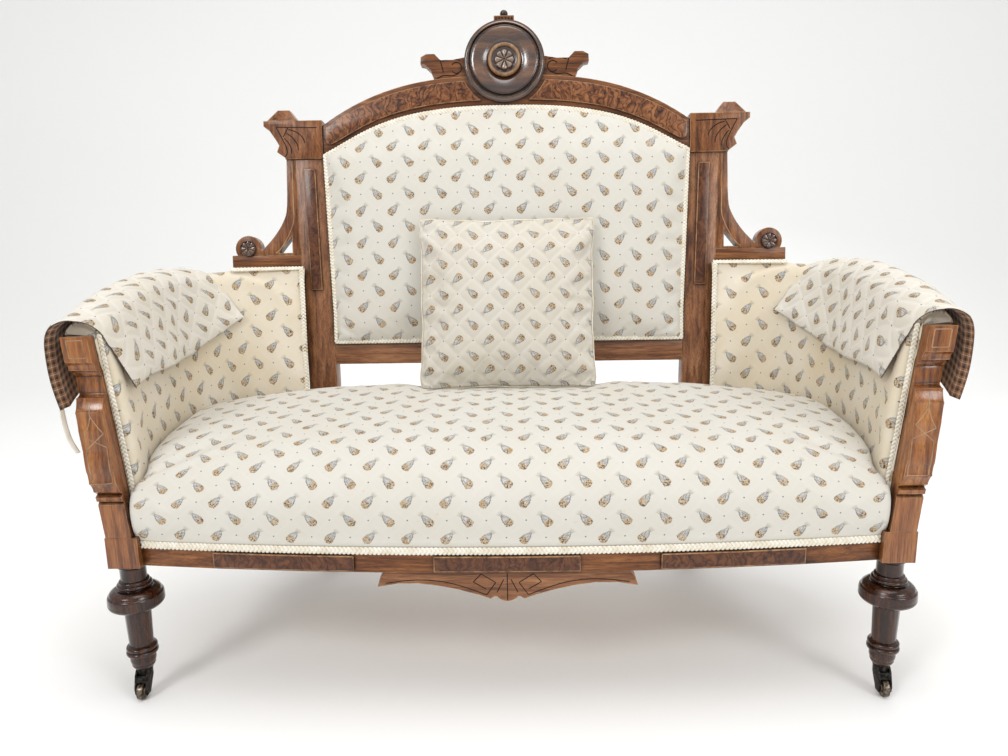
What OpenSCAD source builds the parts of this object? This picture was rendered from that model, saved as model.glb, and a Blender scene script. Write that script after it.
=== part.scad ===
// Parlor loveseat with a raked show-wood back, drop-in upholstery and four swivel casters
// Millimetres, +Z up, +Y to the back, origin on the floor under the middle of the whole settee

/* [Back frame] */
// Backward rake of the back frame in degrees
back_rake = 7; // [0:0.5:12]
// Front face of the back frame behind the front leg axis, at floor level
back_line = 366; // [340:1:400]
// How far the back posts' inner sides lie inside the front leg axes
back_inset = 239; // [220:1:260]
// Outward step of each back post from the seat to its cap
post_step = 14; // [0:1:20]
// Width of a back post
post_w = 57.5; // [45:0.5:65]
// Front to back thickness of a back post
post_t = 38; // [32:1:42]
// Height up the slope where a back post meets its cap
post_top = 884; // [860:1:900]
// Height up the slope of the seat line on the posts
post_low = 430; // [415:1:445]
// Height of the cap block on each post
cap_h = 76; // [70:1:84]
// Reach of the cap moulding beyond the post
cap_reach = 61; // [50:1:70]
// How far the cap stands proud of the post, front and back
cap_proud = 4; // [1:0.5:6]
// Width of the finial pyramid at its base
finial_w = 60; // [50:1:64]
// Height of the finial pyramid
finial_h = 24; // [18:1:30]
// Thickness of the crest rail and the lower rail
frame_t = 30; // [24:1:34]
// Rise of the lower rail's underside above the seat line
lower_rail_rise = 40; // [25:1:50]
// Depth of the lower rail
lower_rail_h = 41; // [34:1:48]
// Rise of the arch's top above the post caps at the middle
arch_rise = 82; // [60:1:95]
// Fall of the arch's top edge from the middle to the posts
arch_fall = 92; // [80:1:100]
// Depth of the arch at its middle
arch_mid_h = 60; // [52:1:70]
// Depth of the arch at the posts
arch_end_h = 58; // [50:1:66]
// Plain border of wood round the burl panels of the arch
arch_border = 10; // [7:0.5:13]
// Thickness of a raised burl panel
panel_t = 5; // [3:0.5:7]
// Width of the burl panel on a back post
post_panel_w = 23; // [16:1:28]
// Length of the burl panel on a back post
post_panel_h = 242; // [200:1:250]

/* [Crest] */
// Radius of the turned medallion
medal_r = 79.5; // [70:0.5:84]
// Rise of the medallion's centre above the arch's top
medal_rise = 25; // [20:1:33]
// Thickness of the medallion at its rim
medal_t = 18; // [14:1:22]
// Thickness of the crest board behind the medallion
crest_t = 24; // [18:1:28]
// Radius of the applied ring in the medallion
ring_r = 29; // [24:1:34]
// Half thickness of the applied ring
ring_wire = 4; // [3:0.5:5]
// Radius of the rosette inside the ring
rosette_r = 20; // [16:0.5:22]
// Half span of the two crest ears
ear_reach = 168; // [155:1:180]
// Height of an ear above the arch
ear_h = 52; // [46:1:58]
// Width of the small block on the crest
crest_block_w = 40; // [32:1:46]
// Height of the small block on the crest
crest_block_h = 10; // [7:1:14]
// Radius of the ball on the crest
ball_r = 8; // [6:0.5:10]

/* [Wings] */
// Length of the wing rail beyond the post's top
wing_span = 135.5; // [125:0.5:145]
// Drop from the post's cap to the wing rail's underside
wing_drop = 214; // [200:1:230]
// Height of the wing rail
wing_h = 24; // [20:1:28]
// Thickness of the wing rail and bracket
wing_t = 24; // [18:1:28]
// Radius of the roundel lobe at the bracket's toe
lobe_r = 26.5; // [22:0.5:28]
// Width of the bracket where it joins the cap
bracket_w = 18; // [14:1:22]
// Radius of the turned rosette on the lobe
roundel_r = 16; // [12:0.5:20]

/* [Seat] */
// Half distance between the front leg axes
leg_x = 592; // [570:1:610]
// Square of the front corner block and the arm post's foot
block_w = 50; // [44:1:56]
// Height of the rail's underside above the floor
rail_low = 230; // [215:1:245]
// Height of the seat rails
rail_h = 40; // [34:1:48]
// Thickness of the seat rails
rail_t = 28; // [22:1:32]
// Forward bow of the front rail
rail_bow = 35; // [15:1:45]
// Front rail face at its middle, ahead of the front leg axis
rail_face = 48; // [40:1:58]
// Length of each burl panel on the front rail
rail_panel_w = 220; // [180:1:240]
// Spacing of the burl panels on the front rail
rail_panel_pitch = 340; // [300:1:350]
// Height of each burl panel on the front rail
rail_panel_h = 25; // [20:1:28]
// Half width of the hanging apron ornament
apron_w = 197; // [170:1:220]
// Depth of the apron ornament at its middle
apron_h = 49; // [40:1:58]
// Thickness of the apron ornament
apron_t = 14; // [10:1:18]
// Depth of the seat pad from its crown to the rails
seat_depth = 167; // [150:1:180]
// Reach of the seat's nose beyond the front rail
seat_nose = 13; // [8:1:18]
// Fall of the seat from its crown to the arms
seat_side_fall = 30; // [15:1:40]
// Gap between the back edge of the seat and the back frame
seat_back_gap = 5; // [3:0.5:12]
// Width of the braided gimp
gimp_w = 9; // [6:0.5:12]
// Thickness of the braided gimp
gimp_t = 2.5; // [1.5:0.5:4]

/* [Arms] */
// How far the widest inner face of an arm lies inside the front leg axis
arm_inset = 1; // [0:1:10]
// Gap between the wing's upholstery and the back frame
wing_back_gap = 1.5; // [1:0.5:4]
// Gap between the wing's top and the wing rail
wing_top_gap = 3; // [1:0.5:10]
// Fall of the arm's top from the wing to the front
arm_fall = 50; // [35:1:60]
// Width of the arm's rolled top
roll_w = 60; // [52:1:68]
// Depth of the arm's rolled top
roll_h = 74; // [66:1:84]
// Thickness of the wing's upholstery
wing_pad_t = 25; // [18:1:25]
// Width of the arm post
arm_post_w = 40; // [34:1:46]
// Outward lean of the arm post in degrees
arm_post_lean = 5; // [3:0.5:6]
// Drop from the arm's top to the top of the arm post
arm_post_drop = 20; // [14:1:30]
// Front to back depth of the arm post's foot
arm_post_d = 46; // [40:1:50]
// Thickness of the loose quilted arm cover
cover_t = 4; // [2:0.5:5]

/* [Legs and casters] */
// Radius of the wide turned disc on a front leg
disc_r = 43.5; // [36:0.5:50]
// Height of the turned disc's middle above the floor
disc_z = 172; // [160:1:180]
// Radius of the leg shaft at its top
shaft_r = 20.5; // [17:0.5:23]
// Height of a leg's end above the floor
caster_h = 50; // [46:1:56]
// Radius of a caster wheel
wheel_r = 14; // [12:0.5:15]
// Width of a caster wheel
wheel_w = 14; // [10:1:16]
// Horizontal trail of the wheel from the swivel axis
trail = 14; // [10:0.5:16]
// Radius of the swivel stem
stem_r = 4; // [3:0.5:5]
// Radius of the wheel's axle pin
axle_r = 2.5; // [2:0.5:3]
// Rear foot axis behind the front leg axis
rear_foot_y = 476; // [460:1:490]
// Square of a rear leg at its foot
rear_foot_w = 34; // [30:1:38]

/* [Throw pillow] */
// Width of the throw pillow
pillow_w = 342; // [300:1:380]
// Height of the throw pillow
pillow_h = 334; // [300:1:345]
// Thickness of the throw pillow at its middle
pillow_t = 80; // [50:1:84]
// Backward lean of the throw pillow in degrees
pillow_lean = 12.5; // [9:0.5:15]

/* [Hidden] */
$fn = 48;

walnut = "#6f4527";
burl = "#7a4a26";
ebonised = "#2f1f19";
cloth = "#e6dfcf";
quilt = "#ece6d8";
braid = "#d8cfba";
jute = "#a8875a";
iron = "#3a3836";

// Clearances and overruns
over = 1;
soft_gap = 0.5;
seat_gap = 1;
run_gap = 0.05;
face_gap = 0.3;
joint_gap = 0.2;

// The whole settee, drawn from the front leg axis and then centred front to back
module settee() { translate([0, -mid_y, 0]) children(); }
// The back frame's own plane: X across, Z up the slope, Y square to it and to the rear
module back_plane() { settee() translate([0, back_line, 0]) rotate([-back_rake, 0, 0]) children(); }
// A flat board drawn in X and Z, from its front face back
module board(t, front = 0) {
    translate([0, front + t, 0]) rotate([90, 0, 0]) linear_extrude(height = t) children();
}
module both() { children(); mirror([1, 0, 0]) children(); }
module left() { mirror([1, 0, 0]) children(); }

function mix(a, b, t) = a + (b - a) * t;
function smooth(t) = let (c = max(0, min(1, t))) c * c * (3 - 2 * c);
function bezier(p, t) = pow(1 - t, 3) * p[0] + 3 * pow(1 - t, 2) * t * p[1]
    + 3 * (1 - t) * t * t * p[2] + pow(t, 3) * p[3];
function spline_part(a, b, c, d, t) = 0.5 * ((2 * b) + (c - a) * t
    + (2 * a - 5 * b + 4 * c - d) * t * t + (3 * b - a - 3 * c + d) * t * t * t);
// A smooth curve through the points of a list, for a share of its length from 0 to 1
function spline(p, s) = let (n = len(p) - 1, f = max(0, min(0.99999, s)) * n, i = floor(f))
    spline_part(p[max(0, i - 1)], p[i], p[i + 1], p[min(n, i + 2)], f - i);

// A closed solid between two grids of points with as many rows and columns
module skin(front, back, flip = false) {
    rows = len(front);
    cols = len(front[0]);
    count = rows * cols;
    points = concat([for (r = front) each r], [for (r = back) each r]);
    function at(r, c) = r * cols + c;
    sheet = [for (r = [0:rows - 2], c = [0:cols - 2]) each
        [[at(r, c), at(r, c + 1), at(r + 1, c + 1)], [at(r, c), at(r + 1, c + 1), at(r + 1, c)]]];
    under = [for (f = sheet) [f[2] + count, f[1] + count, f[0] + count]];
    rim = concat(
        [for (c = [0:cols - 2]) [at(0, c + 1), at(0, c)]],
        [for (r = [0:rows - 2]) [at(r + 1, cols - 1), at(r, cols - 1)]],
        [for (c = [0:cols - 2]) [at(rows - 1, c), at(rows - 1, c + 1)]],
        [for (r = [0:rows - 2]) [at(r, 0), at(r + 1, 0)]]);
    walls = [for (e = rim) each
        [[e[0], e[1], e[1] + count], [e[0], e[1] + count, e[0] + count]]];
    all = concat(sheet, under, walls);
    polyhedron(points, flip ? [for (f = all) [f[2], f[1], f[0]]] : all);
}

// Outlines of the back frame, drawn on the right and mirrored
post_in_low = leg_x - back_inset;
post_out_low = post_in_low + post_w;
post_in_top = post_in_low + post_step;
post_out_top = post_in_top + post_w;
post_end = post_top + cap_h;
lower_rail_low = post_low + lower_rail_rise;
lower_rail_top = lower_rail_low + lower_rail_h;
arch_top = post_end + arch_rise;
arch_low = arch_top - arch_mid_h;
arch_low_fall = arch_fall + arch_end_h - arch_mid_h;
medal_h = arch_top + medal_rise;
wing_low = post_top - wing_drop;
wing_reach = post_out_top + wing_span;
arch_power = 2.8;
arch_control_shares = [[0, 0], [0.655, -0.03], [0.777, 0.58], [1, 1]];
function post_in(h) = post_in_low + post_step * (h - post_low) / (post_top - post_low);
function arch_upper(x) = arch_top - arch_fall * pow(abs(x) / post_in_top, arch_power);
arch_steps = 24;
arch_curve = [for (i = [0:arch_steps]) let (q = bezier(arch_control_shares, i / arch_steps))
    [q[0] * post_in_top, arch_low - q[1] * arch_low_fall]];
function arch_lower(x) = lookup(abs(x), arch_curve);
arch_table = [for (i = [0:2 * arch_steps]) let (x = mix(-post_in_top, post_in_top, i / (2 * arch_steps)))
    [x, arch_upper(x)]];

// Heights and half widths that the seat and the arms share
rail_top = rail_low + rail_h;
seat_top = rail_top + seat_depth;
seat_back = back_line + rail_top * tan(back_rake) - seat_back_gap;
lean_line = rail_top + arm_post_d * 2;
arm_half = leg_x - arm_inset;
arm_run = back_line + lean_line * tan(back_rake) - wing_pad_t - wing_back_gap;
arm_top_back = wing_low * cos(back_rake) - wing_top_gap;
arm_top_front = arm_top_back - arm_fall;
arm_post_top = arm_top_front - arm_post_drop;

// Back posts, each with its rear leg in one piece
rear_leg_in = post_in_low + (post_w - rear_foot_w) / 2;
knee_y = back_line + rail_low * tan(back_rake);
foot_front = rear_foot_y - rear_foot_w / 2;
foot_back = rear_foot_y + rear_foot_w / 2;
post_back_t = post_t / cos(back_rake);
module post_front_outline() {
    bend_z = post_top * cos(back_rake);
    seat_z = post_low * cos(back_rake);
    polygon([
        [rear_leg_in, caster_h], [rear_leg_in + rear_foot_w, caster_h], [post_out_low, rail_low],
        [post_out_low, seat_z], [post_out_top, bend_z], [post_in_top, bend_z],
        [post_in_low, seat_z], [post_in_low, rail_low]
    ]);
}
module post_side_outline() {
    top_z = post_top * cos(back_rake);
    top_y = back_line + post_top * sin(back_rake);
    back_z = top_z - post_t * sin(back_rake);
    back_y = top_y + post_t * cos(back_rake);
    seat_z = rail_low + rail_h;
    polygon([
        [foot_front, caster_h], [foot_back, caster_h],
        [knee_y + post_back_t + rear_foot_w / 4, rail_low],
        [back_line + seat_z * tan(back_rake) + post_back_t, seat_z + rail_h],
        [back_y, back_z], [top_y, top_z],
        [back_line + (seat_z + rail_h) * tan(back_rake), seat_z + rail_h],
        [knee_y, rail_low]
    ]);
}
module back_post() {
    color(walnut) settee() difference() {
        intersection() {
            translate([0, rear_foot_y + arm_run, 0]) rotate([90, 0, 0])
                linear_extrude(height = 2 * arm_run) post_front_outline();
            rotate([90, 0, 90]) linear_extrude(height = arm_half) post_side_outline();
        }
        translate([rear_leg_in + rear_foot_w / 2, rear_foot_y, 0]) stem_hole();
    }
}
module back_post_left() { left() back_post(); }
module back_post_right() { back_post(); }

// Cap blocks with a coved outer end, and the cut pyramid finials on them
cap_outline_shares = [
    [0.00, 0.00], [0.31, 0.00], [0.31, 0.04], [0.58, 0.19], [0.50, 0.36], [0.60, 0.50],
    [0.82, 0.76], [1.00, 0.86], [1.00, 1.00], [0.00, 1.00]
];
module post_cap() {
    color(walnut) back_plane() board(post_t + 2 * cap_proud, -cap_proud)
        polygon([for (q = cap_outline_shares)
            [q[0] == 0 ? post_in_top : post_out_top + q[0] * cap_reach, post_top + q[1] * cap_h]]);
}
module post_cap_left() { left() post_cap(); }
module post_cap_right() { post_cap(); }
finial_x = post_out_top + cap_reach - finial_w / 2 - cap_proud * 2;
finial_top_share = 0.4;
module post_finials() {
    color(walnut) back_plane() both() translate([finial_x, post_t / 2, post_end])
        linear_extrude(height = finial_h, scale = finial_top_share)
            square([finial_w, post_t + 2 * cap_proud], center = true);
}

// Crest rail: the shaped arch between the two posts
module arch_band(inset, near, far, steps) {
    xs = [for (i = [0:steps]) mix(near, far, i / steps)];
    polygon(concat(
        [for (x = xs) [x, arch_upper(x) - inset]],
        [for (i = [0:steps]) let (x = xs[steps - i]) [x, arch_lower(x) + inset]]));
}
module crest_rail() {
    color(walnut) back_plane()
        board(frame_t) arch_band(0, -post_in_top, post_in_top, 2 * arch_steps);
}
module lower_back_rail() {
    low_x = post_in(lower_rail_low) - joint_gap;
    high_x = post_in(lower_rail_top) - joint_gap;
    color(walnut) back_plane() board(frame_t) polygon([
        [-low_x, lower_rail_low], [low_x, lower_rail_low], [high_x, lower_rail_top],
        [-high_x, lower_rail_top]
    ]);
}
arch_panel_end = post_in_top - arch_border;
module arch_burl_panels() {
    end_h = (arch_upper(arch_panel_end) + arch_lower(arch_panel_end)) / 2;
    color(burl) back_plane() both() board(panel_t, -panel_t) union() {
        arch_band(arch_border, medal_r, arch_panel_end - arch_border, arch_steps);
        translate([arch_panel_end - arch_border, end_h + arch_border / 2])
            circle(r = arch_border);
    }
}
post_panel_low = post_top - arch_border * 2 - post_panel_h;
module post_burl_panels() {
    mid_low = post_in(post_panel_low) + post_w / 2;
    mid_high = post_in(post_panel_low + post_panel_h) + post_w / 2;
    color(burl) back_plane() both() board(panel_t, -panel_t) polygon([
        [mid_low - post_panel_w / 2, post_panel_low], [mid_low + post_panel_w / 2, post_panel_low],
        [mid_high + post_panel_w / 2, post_panel_low + post_panel_h],
        [mid_high - post_panel_w / 2, post_panel_low + post_panel_h]
    ]);
}

// Crest board: a round backing with a scrolled ear at each side, standing on the arch
ear_shares = [
    [0.62, 0.74], [0.76, 0.74], [0.83, 0.97], [0.93, 0.97], [0.995, 0.86], [1.00, 0.60],
    [0.945, 0.56], [0.88, 0.36], [0.84, 0.02]
];
ear_root_share = 0.84;
ear_foot = ear_shares[len(ear_shares) - 1][0] * ear_reach;
ear_base = arch_upper(ear_foot);
crest_disc_r = medal_r - ring_wire;
ear_root = asin((ear_base + ear_root_share * ear_h - medal_h) / crest_disc_r);
module crest_board() {
    left_ear = [for (q = ear_shares) [-q[0] * ear_reach, ear_base + q[1] * ear_h]];
    color(walnut) back_plane() board(crest_t, (frame_t - crest_t) / 2) polygon(concat(
        [for (i = [0:arch_steps]) let (a = mix(ear_root, 180 - ear_root, i / arch_steps))
            [crest_disc_r * cos(a), medal_h + crest_disc_r * sin(a)]],
        left_ear,
        [[-ear_foot, lookup(ear_foot, arch_table)]],
        [for (q = arch_table) if (abs(q[0]) < ear_foot) q],
        [[ear_foot, lookup(ear_foot, arch_table)]],
        [for (i = [len(left_ear) - 1:-1:0]) [-left_ear[i][0], left_ear[i][1]]]));
}
module turned(h) {
    back_plane() translate([0, 0, h]) rotate([90, 0, 0]) rotate_extrude($fn = 96) children();
}
// The medallion's profile, from its flat back out to the rim bead and the dished face
medal_shares = [
    [0.00, 0.00], [1.00, 0.00], [1.00, 0.45], [0.975, 0.78], [0.93, 1.00], [0.885, 0.92], [0.87, 0.62],
    [0.845, 0.62], [0.80, 0.90], [0.62, 0.66], [0.47, 0.56], [0.00, 0.56]
];
module medallion() {
    color(ebonised) turned(medal_h)
        polygon([for (q = medal_shares) [q[0] * medal_r, q[1] * medal_t]]);
}
medal_face = medal_t * medal_shares[len(medal_shares) - 1][1];
module medallion_ring() {
    color(walnut) turned(medal_h)
        translate([ring_r, medal_face + ring_wire]) circle(r = ring_wire, $fn = 24);
}
petals = 8;
petal_share = 0.3;
module medallion_rosette() {
    color(walnut) back_plane() translate([0, -medal_face, medal_h]) rotate([90, 0, 0]) {
        cylinder(h = ring_wire / 2, r = rosette_r * (1 - petal_share));
        for (i = [0:petals - 1]) rotate([0, 0, i * 360 / petals])
            translate([rosette_r * (1 - petal_share), 0, 0])
                cylinder(h = ring_wire, r = rosette_r * petal_share, $fn = 24);
        cylinder(h = ring_wire * 2, r = rosette_r * petal_share, $fn = 32);
    }
}
crest_block_low = medal_h + medal_r;
module crest_block() {
    color(walnut) back_plane() translate([0, frame_t / 2, crest_block_low - crest_block_h])
        difference() {
            translate([-crest_block_w / 2, -frame_t / 2, 0])
                cube([crest_block_w, frame_t, crest_block_h * 2]);
            translate([0, frame_t, -medal_r + crest_block_h - ring_wire]) rotate([90, 0, 0])
                cylinder(h = 2 * frame_t, r = medal_r, $fn = 96);
        }
}
ball_neck_r = ball_r / 2;
module crest_ball() {
    low = crest_block_low + crest_block_h;
    color(ebonised) back_plane() translate([0, frame_t / 2, low]) rotate_extrude() union() {
        square([ball_neck_r, ball_r]);
        intersection() {
            translate([0, ball_r * 1.2]) circle(r = ball_r);
            square([ball_r, ball_r * 3]);
        }
    }
}

// Wing rails, pierced brackets and their roundels
wing_top = wing_low + wing_h;
lobe_x = wing_reach - lobe_r - ring_wire * 1.8;
lobe_h = wing_top + lobe_r / 2;
module wing_rail() {
    color(walnut) back_plane() board(wing_t) polygon([
        [post_in(wing_low) + post_w, wing_low], [wing_reach, wing_low], [wing_reach, wing_top],
        [post_in(wing_top) + post_w, wing_top]
    ]);
}
module wing_rail_left() { left() wing_rail(); }
module wing_rail_right() { wing_rail(); }
bracket_curve_shares = [[0, 1], [0.02, 0.52], [0.10, 0.35], [0.28, 0.19], [0.50, 0.055]];
bracket_steps = 16;
lobe_dip = asin((lobe_h - wing_top) / lobe_r);
pierce_w = 27;
pierce_h = 33;
pierce_rim = 4;
module wing_bracket() {
    root_x = post_in(wing_top) + post_w;
    top_x = post_out_top + bracket_w;
    run_x = lobe_x + lobe_r - top_x;
    rise = post_top - wing_top;
    color(walnut) back_plane() board(wing_t) difference() {
        polygon(concat(
            [[root_x, wing_top], [post_out_top, post_top]],
            [for (i = [0:bracket_steps]) let (q = spline(bracket_curve_shares, i / bracket_steps))
                [top_x + q[0] * run_x, wing_top + q[1] * rise]],
            [for (i = [0:bracket_steps]) let (a = mix(180, -lobe_dip, i / bracket_steps))
                [lobe_x + lobe_r * cos(a), lobe_h + lobe_r * sin(a)]]));
        translate([root_x + bracket_w, wing_top + pierce_rim])
            polygon([[0, pierce_h], [0, 0], [pierce_w, 0]]);
    }
}
module wing_bracket_left() { left() wing_bracket(); }
module wing_bracket_right() { wing_bracket(); }
roundel_shares = [[0, 0], [1, 0], [1, 0.5], [0.85, 0.75], [0.68, 0.5], [0.42, 0.55], [0.3, 1], [0, 1.1]];
module roundels() {
    color(ebonised) both() back_plane() translate([lobe_x, 0, lobe_h]) rotate([90, 0, 0])
        rotate_extrude() polygon([for (q = roundel_shares) [q[0] * roundel_r, q[1] * panel_t]]);
}

// Upholstered back panel: a crowned pad inside the frame
back_pad_edge = panel_t;
back_crown = 22;
back_pad_depth = 10;
back_flat_shares = [0.965, 0.95];
back_cols = 24;
back_rows = 18;
function back_fall(a, flat) = max(0, 1 - pow(abs(a) / flat, 4));
function back_point(a, b, inset, y) =
    let (x = a * (mix(post_in(lower_rail_top), post_in_top, b) - inset),
        low = lower_rail_top + inset, high = arch_lower(x) - inset)
    [x, y, mix(low, high, b)];
function back_share(i, n) = 2 * i / n - 1;
// The same run with its first and last steps on the flat border
function bordered(i, n, flat) = i == 0 ? -1 : i == n ? 1 : flat * back_share(i - 1, n - 2);
module back_pad() {
    front = [for (r = [0:back_rows]) [for (c = [0:back_cols])
        let (a = bordered(c, back_cols, back_flat_shares[0]),
            b = bordered(r, back_rows, back_flat_shares[1]))
        back_point(a, (b + 1) / 2, soft_gap, -(back_pad_edge
            + back_crown * back_fall(a, back_flat_shares[0]) * back_fall(b, back_flat_shares[1])))]];
    back = [for (row = front) [for (q = row) [q[0], back_pad_depth, q[2]]]];
    color(cloth) back_plane() skin(front, back, true);
}
// The outline of the opening in the back frame, inset by a width
module back_outline(inset) {
    function spot(a, b) = let (q = back_point(a, b, inset, 0)) [q[0], q[2]];
    polygon(concat([for (c = [0:back_cols]) spot(back_share(c, back_cols), 0)],
        [for (c = [0:back_cols]) spot(-back_share(c, back_cols), 1)]));
}
module back_gimp() {
    color(braid) back_plane() board(gimp_t, -back_pad_edge - face_gap - gimp_t) difference() {
        back_outline(soft_gap);
        back_outline(gimp_w);
    }
}
strap_w = 50;
strap_t = 1.5;
back_strap_count = 5;
back_cross_count = 3;
back_strap_pitch = 120;
module back_webbing() {
    low_y = back_pad_depth + face_gap;
    color(jute) back_plane() {
        for (i = [0:back_strap_count - 1])
            let (x = (i - (back_strap_count - 1) / 2) * back_strap_pitch)
            board(strap_t, low_y) polygon([
                [x - strap_w / 2, lower_rail_top], [x + strap_w / 2, lower_rail_top],
                [x + strap_w / 2, arch_lower(x + strap_w / 2) - soft_gap],
                [x - strap_w / 2, arch_lower(x - strap_w / 2) - soft_gap]
            ]);
        for (i = [0:back_cross_count - 1])
            let (h = lower_rail_top + back_strap_pitch * (i + 1) - back_strap_pitch / 2)
            board(strap_t, low_y + strap_t) polygon([
                [-post_in(h) + soft_gap, h], [post_in(h) - soft_gap, h],
                [post_in(h + strap_w) - soft_gap, h + strap_w],
                [-post_in(h + strap_w) + soft_gap, h + strap_w]
            ]);
    }
}
module outside_back() {
    color(cloth) back_plane() board(strap_t, frame_t - strap_t) back_outline(soft_gap);
}

// Seat rails: the front one bows forward, the side ones follow the arms
rail_end = leg_x - block_w / 2;
bow_r = (rail_end * rail_end + rail_bow * rail_bow) / (2 * rail_bow);
bow_fn = 720;
// Depth of the front rail's inner face at a place across the seat
function rail_inner(x) = bow_r - rail_face - sqrt(pow(bow_r - rail_t, 2) - x * x);
// A strip that follows the front rail's bow, from its face back, over a half length
module bow_strip(half, ahead, t) {
    intersection() {
        translate([0, bow_r - rail_face]) difference() {
            circle(r = bow_r + ahead, $fn = bow_fn);
            circle(r = bow_r + ahead - t, $fn = bow_fn);
        }
        translate([-half, -rail_face - ahead - over]) square([2 * half, block_w + rail_bow]);
    }
}
module front_rail() {
    color(walnut) settee() difference() {
        translate([0, 0, rail_low]) linear_extrude(height = rail_h) bow_strip(rail_end, 0, rail_t);
        rail_dowels();
    }
}
module rail_burl_panels() {
    face_low = rail_low + (rail_h - gimp_w - rail_panel_h) / 2;
    color(burl) settee() translate([0, 0, face_low]) linear_extrude(height = rail_panel_h)
        intersection() {
            bow_strip(rail_end, panel_t, panel_t);
            for (i = [-1:1]) translate([i * rail_panel_pitch - rail_panel_w / 2, -rail_face - block_w])
                square([rail_panel_w, 2 * block_w]);
        }
}
apron_shares = [
    [0.10, 0.84], [0.13, 0.92], [0.22, 0.78], [0.37, 0.61], [0.53, 0.47], [0.68, 0.39], [0.84, 0.39],
    [1.00, 0.49], [0.975, 0.16], [0.945, 0.00]
];
apron_scallop_r = apron_h * 0.42;
module apron() {
    color(walnut) settee() translate([0, panel_t - rail_face, rail_low]) board(apron_t) union() {
        polygon(concat(
            [for (q = apron_shares) [q[0] * apron_w, -q[1] * apron_h]],
            [for (i = [len(apron_shares) - 1:-1:0]) let (q = apron_shares[i])
                [-q[0] * apron_w, -q[1] * apron_h]]));
        intersection() {
            translate([0, -apron_h + apron_scallop_r]) circle(r = apron_scallop_r);
            translate([-apron_w, -apron_h]) square([2 * apron_w, apron_h]);
        }
    }
}
seat_gimp_z = rail_top - gimp_w;
module seat_gimp() {
    color(braid) settee() translate([0, 0, seat_gimp_z]) linear_extrude(height = gimp_w)
        bow_strip(rail_end - face_gap, gimp_t, gimp_t);
}

// Plan of the arms: the inner face at seat level, from the front to the side of the back post
arm_plan_shares = [
    [0.862, 0.005], [0.954, 0.26], [1.00, 0.52], [0.983, 0.70], [0.839, 0.872], [0.524, 0.969],
    [0.00, 1.00]
];
arm_plan = [for (q = arm_plan_shares) [mix(post_out_low + soft_gap, arm_half, q[0]), q[1] * arm_run]];
plan_step_share = 0.004;
function plan_at(s) = spline(arm_plan, s);
function plan_normal(s) = let (
    d = plan_at(min(1, s + plan_step_share)) - plan_at(max(0, s - plan_step_share)), n = norm(d))
    [d[1] / n, -d[0] / n];
plan_stations = 48;
station_table = [for (i = [0:plan_stations]) [plan_at(i / plan_stations)[1], i / plan_stations]];
// The station of the plan that lies at a depth y
function station(y) = lookup(y, station_table);
lean_shares = [0.11, 0.08, 0.06, 0.06, 0.09, 0.12, tan(back_rake)];
function arm_lean(s) = spline(lean_shares, s);
// A point of an arm: s along its plan, u outwards from its inner face, z up
function arm_point(s, u, z) = let (c = plan_at(s), n = plan_normal(s),
    w = u + arm_lean(s) * max(0, z - lean_line)) [c[0] + w * n[0], c[1] + w * n[1], z];
arm_low = rail_top + face_gap;
ridge_shares = [0, 0.52, 0.86, 1.0, 1.0, 1.0, 1.0];
function ridge(s) = mix(arm_top_front, arm_top_back, spline(ridge_shares, s));
roll_end_shares = [0.66, 0.82];
function rolled(s) = 1 - smooth((s - roll_end_shares[0]) / (roll_end_shares[1] - roll_end_shares[0]));
// Section points as shares: out over the roll's width, down the face, down the roll
pad_t_share = 0.567;
roll_in_shares = [[0, 1, 0], [0, 0.78, 0], [-0.08, 0.5, 0], [-0.06, 0.26, 0], [0, 0, 0.6], [0.08, 0, 0.27],
    [0.27, 0, 0.07], [0.5, 0, 0], [0.73, 0, 0.07], [0.92, 0, 0.25], [1, 0, 0.52]];
roll_out_shares = [[pad_t_share, 1, 0], [pad_t_share, 0.78, 0], [pad_t_share, 0.5, 0],
    [pad_t_share, 0.34, 0], [pad_t_share, 0, 1], [0.62, 0, 1], [0.67, 0, 0.99], [0.73, 0, 0.97],
    [0.81, 0, 0.93], [0.9, 0, 0.85], [0.97, 0, 0.7]];
wing_in_shares = [[0, 1, 0], [0, 0.78, 0], [-0.1, 0.5, 0], [-0.1, 0.26, 0], [0, 0, 0.6], [0.04, 0, 0.27],
    [0.12, 0, 0.07], [0.28, 0, 0.013], [0.44, 0, 0], [0.64, 0, 0], [0.8, 0, 0]];
wing_out_shares = [[1, 1, 0], [1, 0.78, 0], [1, 0.5, 0], [1, 0.34, 0], [1, 0, 1], [1, 0, 0.75],
    [1, 0, 0.55], [1, 0, 0.4], [1, 0, 0.27], [1, 0, 0.16], [1, 0, 0.05]];
function section_point(s, rolls, wings, i) = let (k = rolled(s), zr = ridge(s),
    u = mix(wings[i][0] * wing_pad_t, rolls[i][0] * roll_w, k),
    f = mix(wings[i][1], rolls[i][1], k), d = mix(wings[i][2], rolls[i][2], k))
    arm_point(s, u, zr - f * (zr - arm_low) - d * roll_h);
arm_stations = 26;
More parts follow.
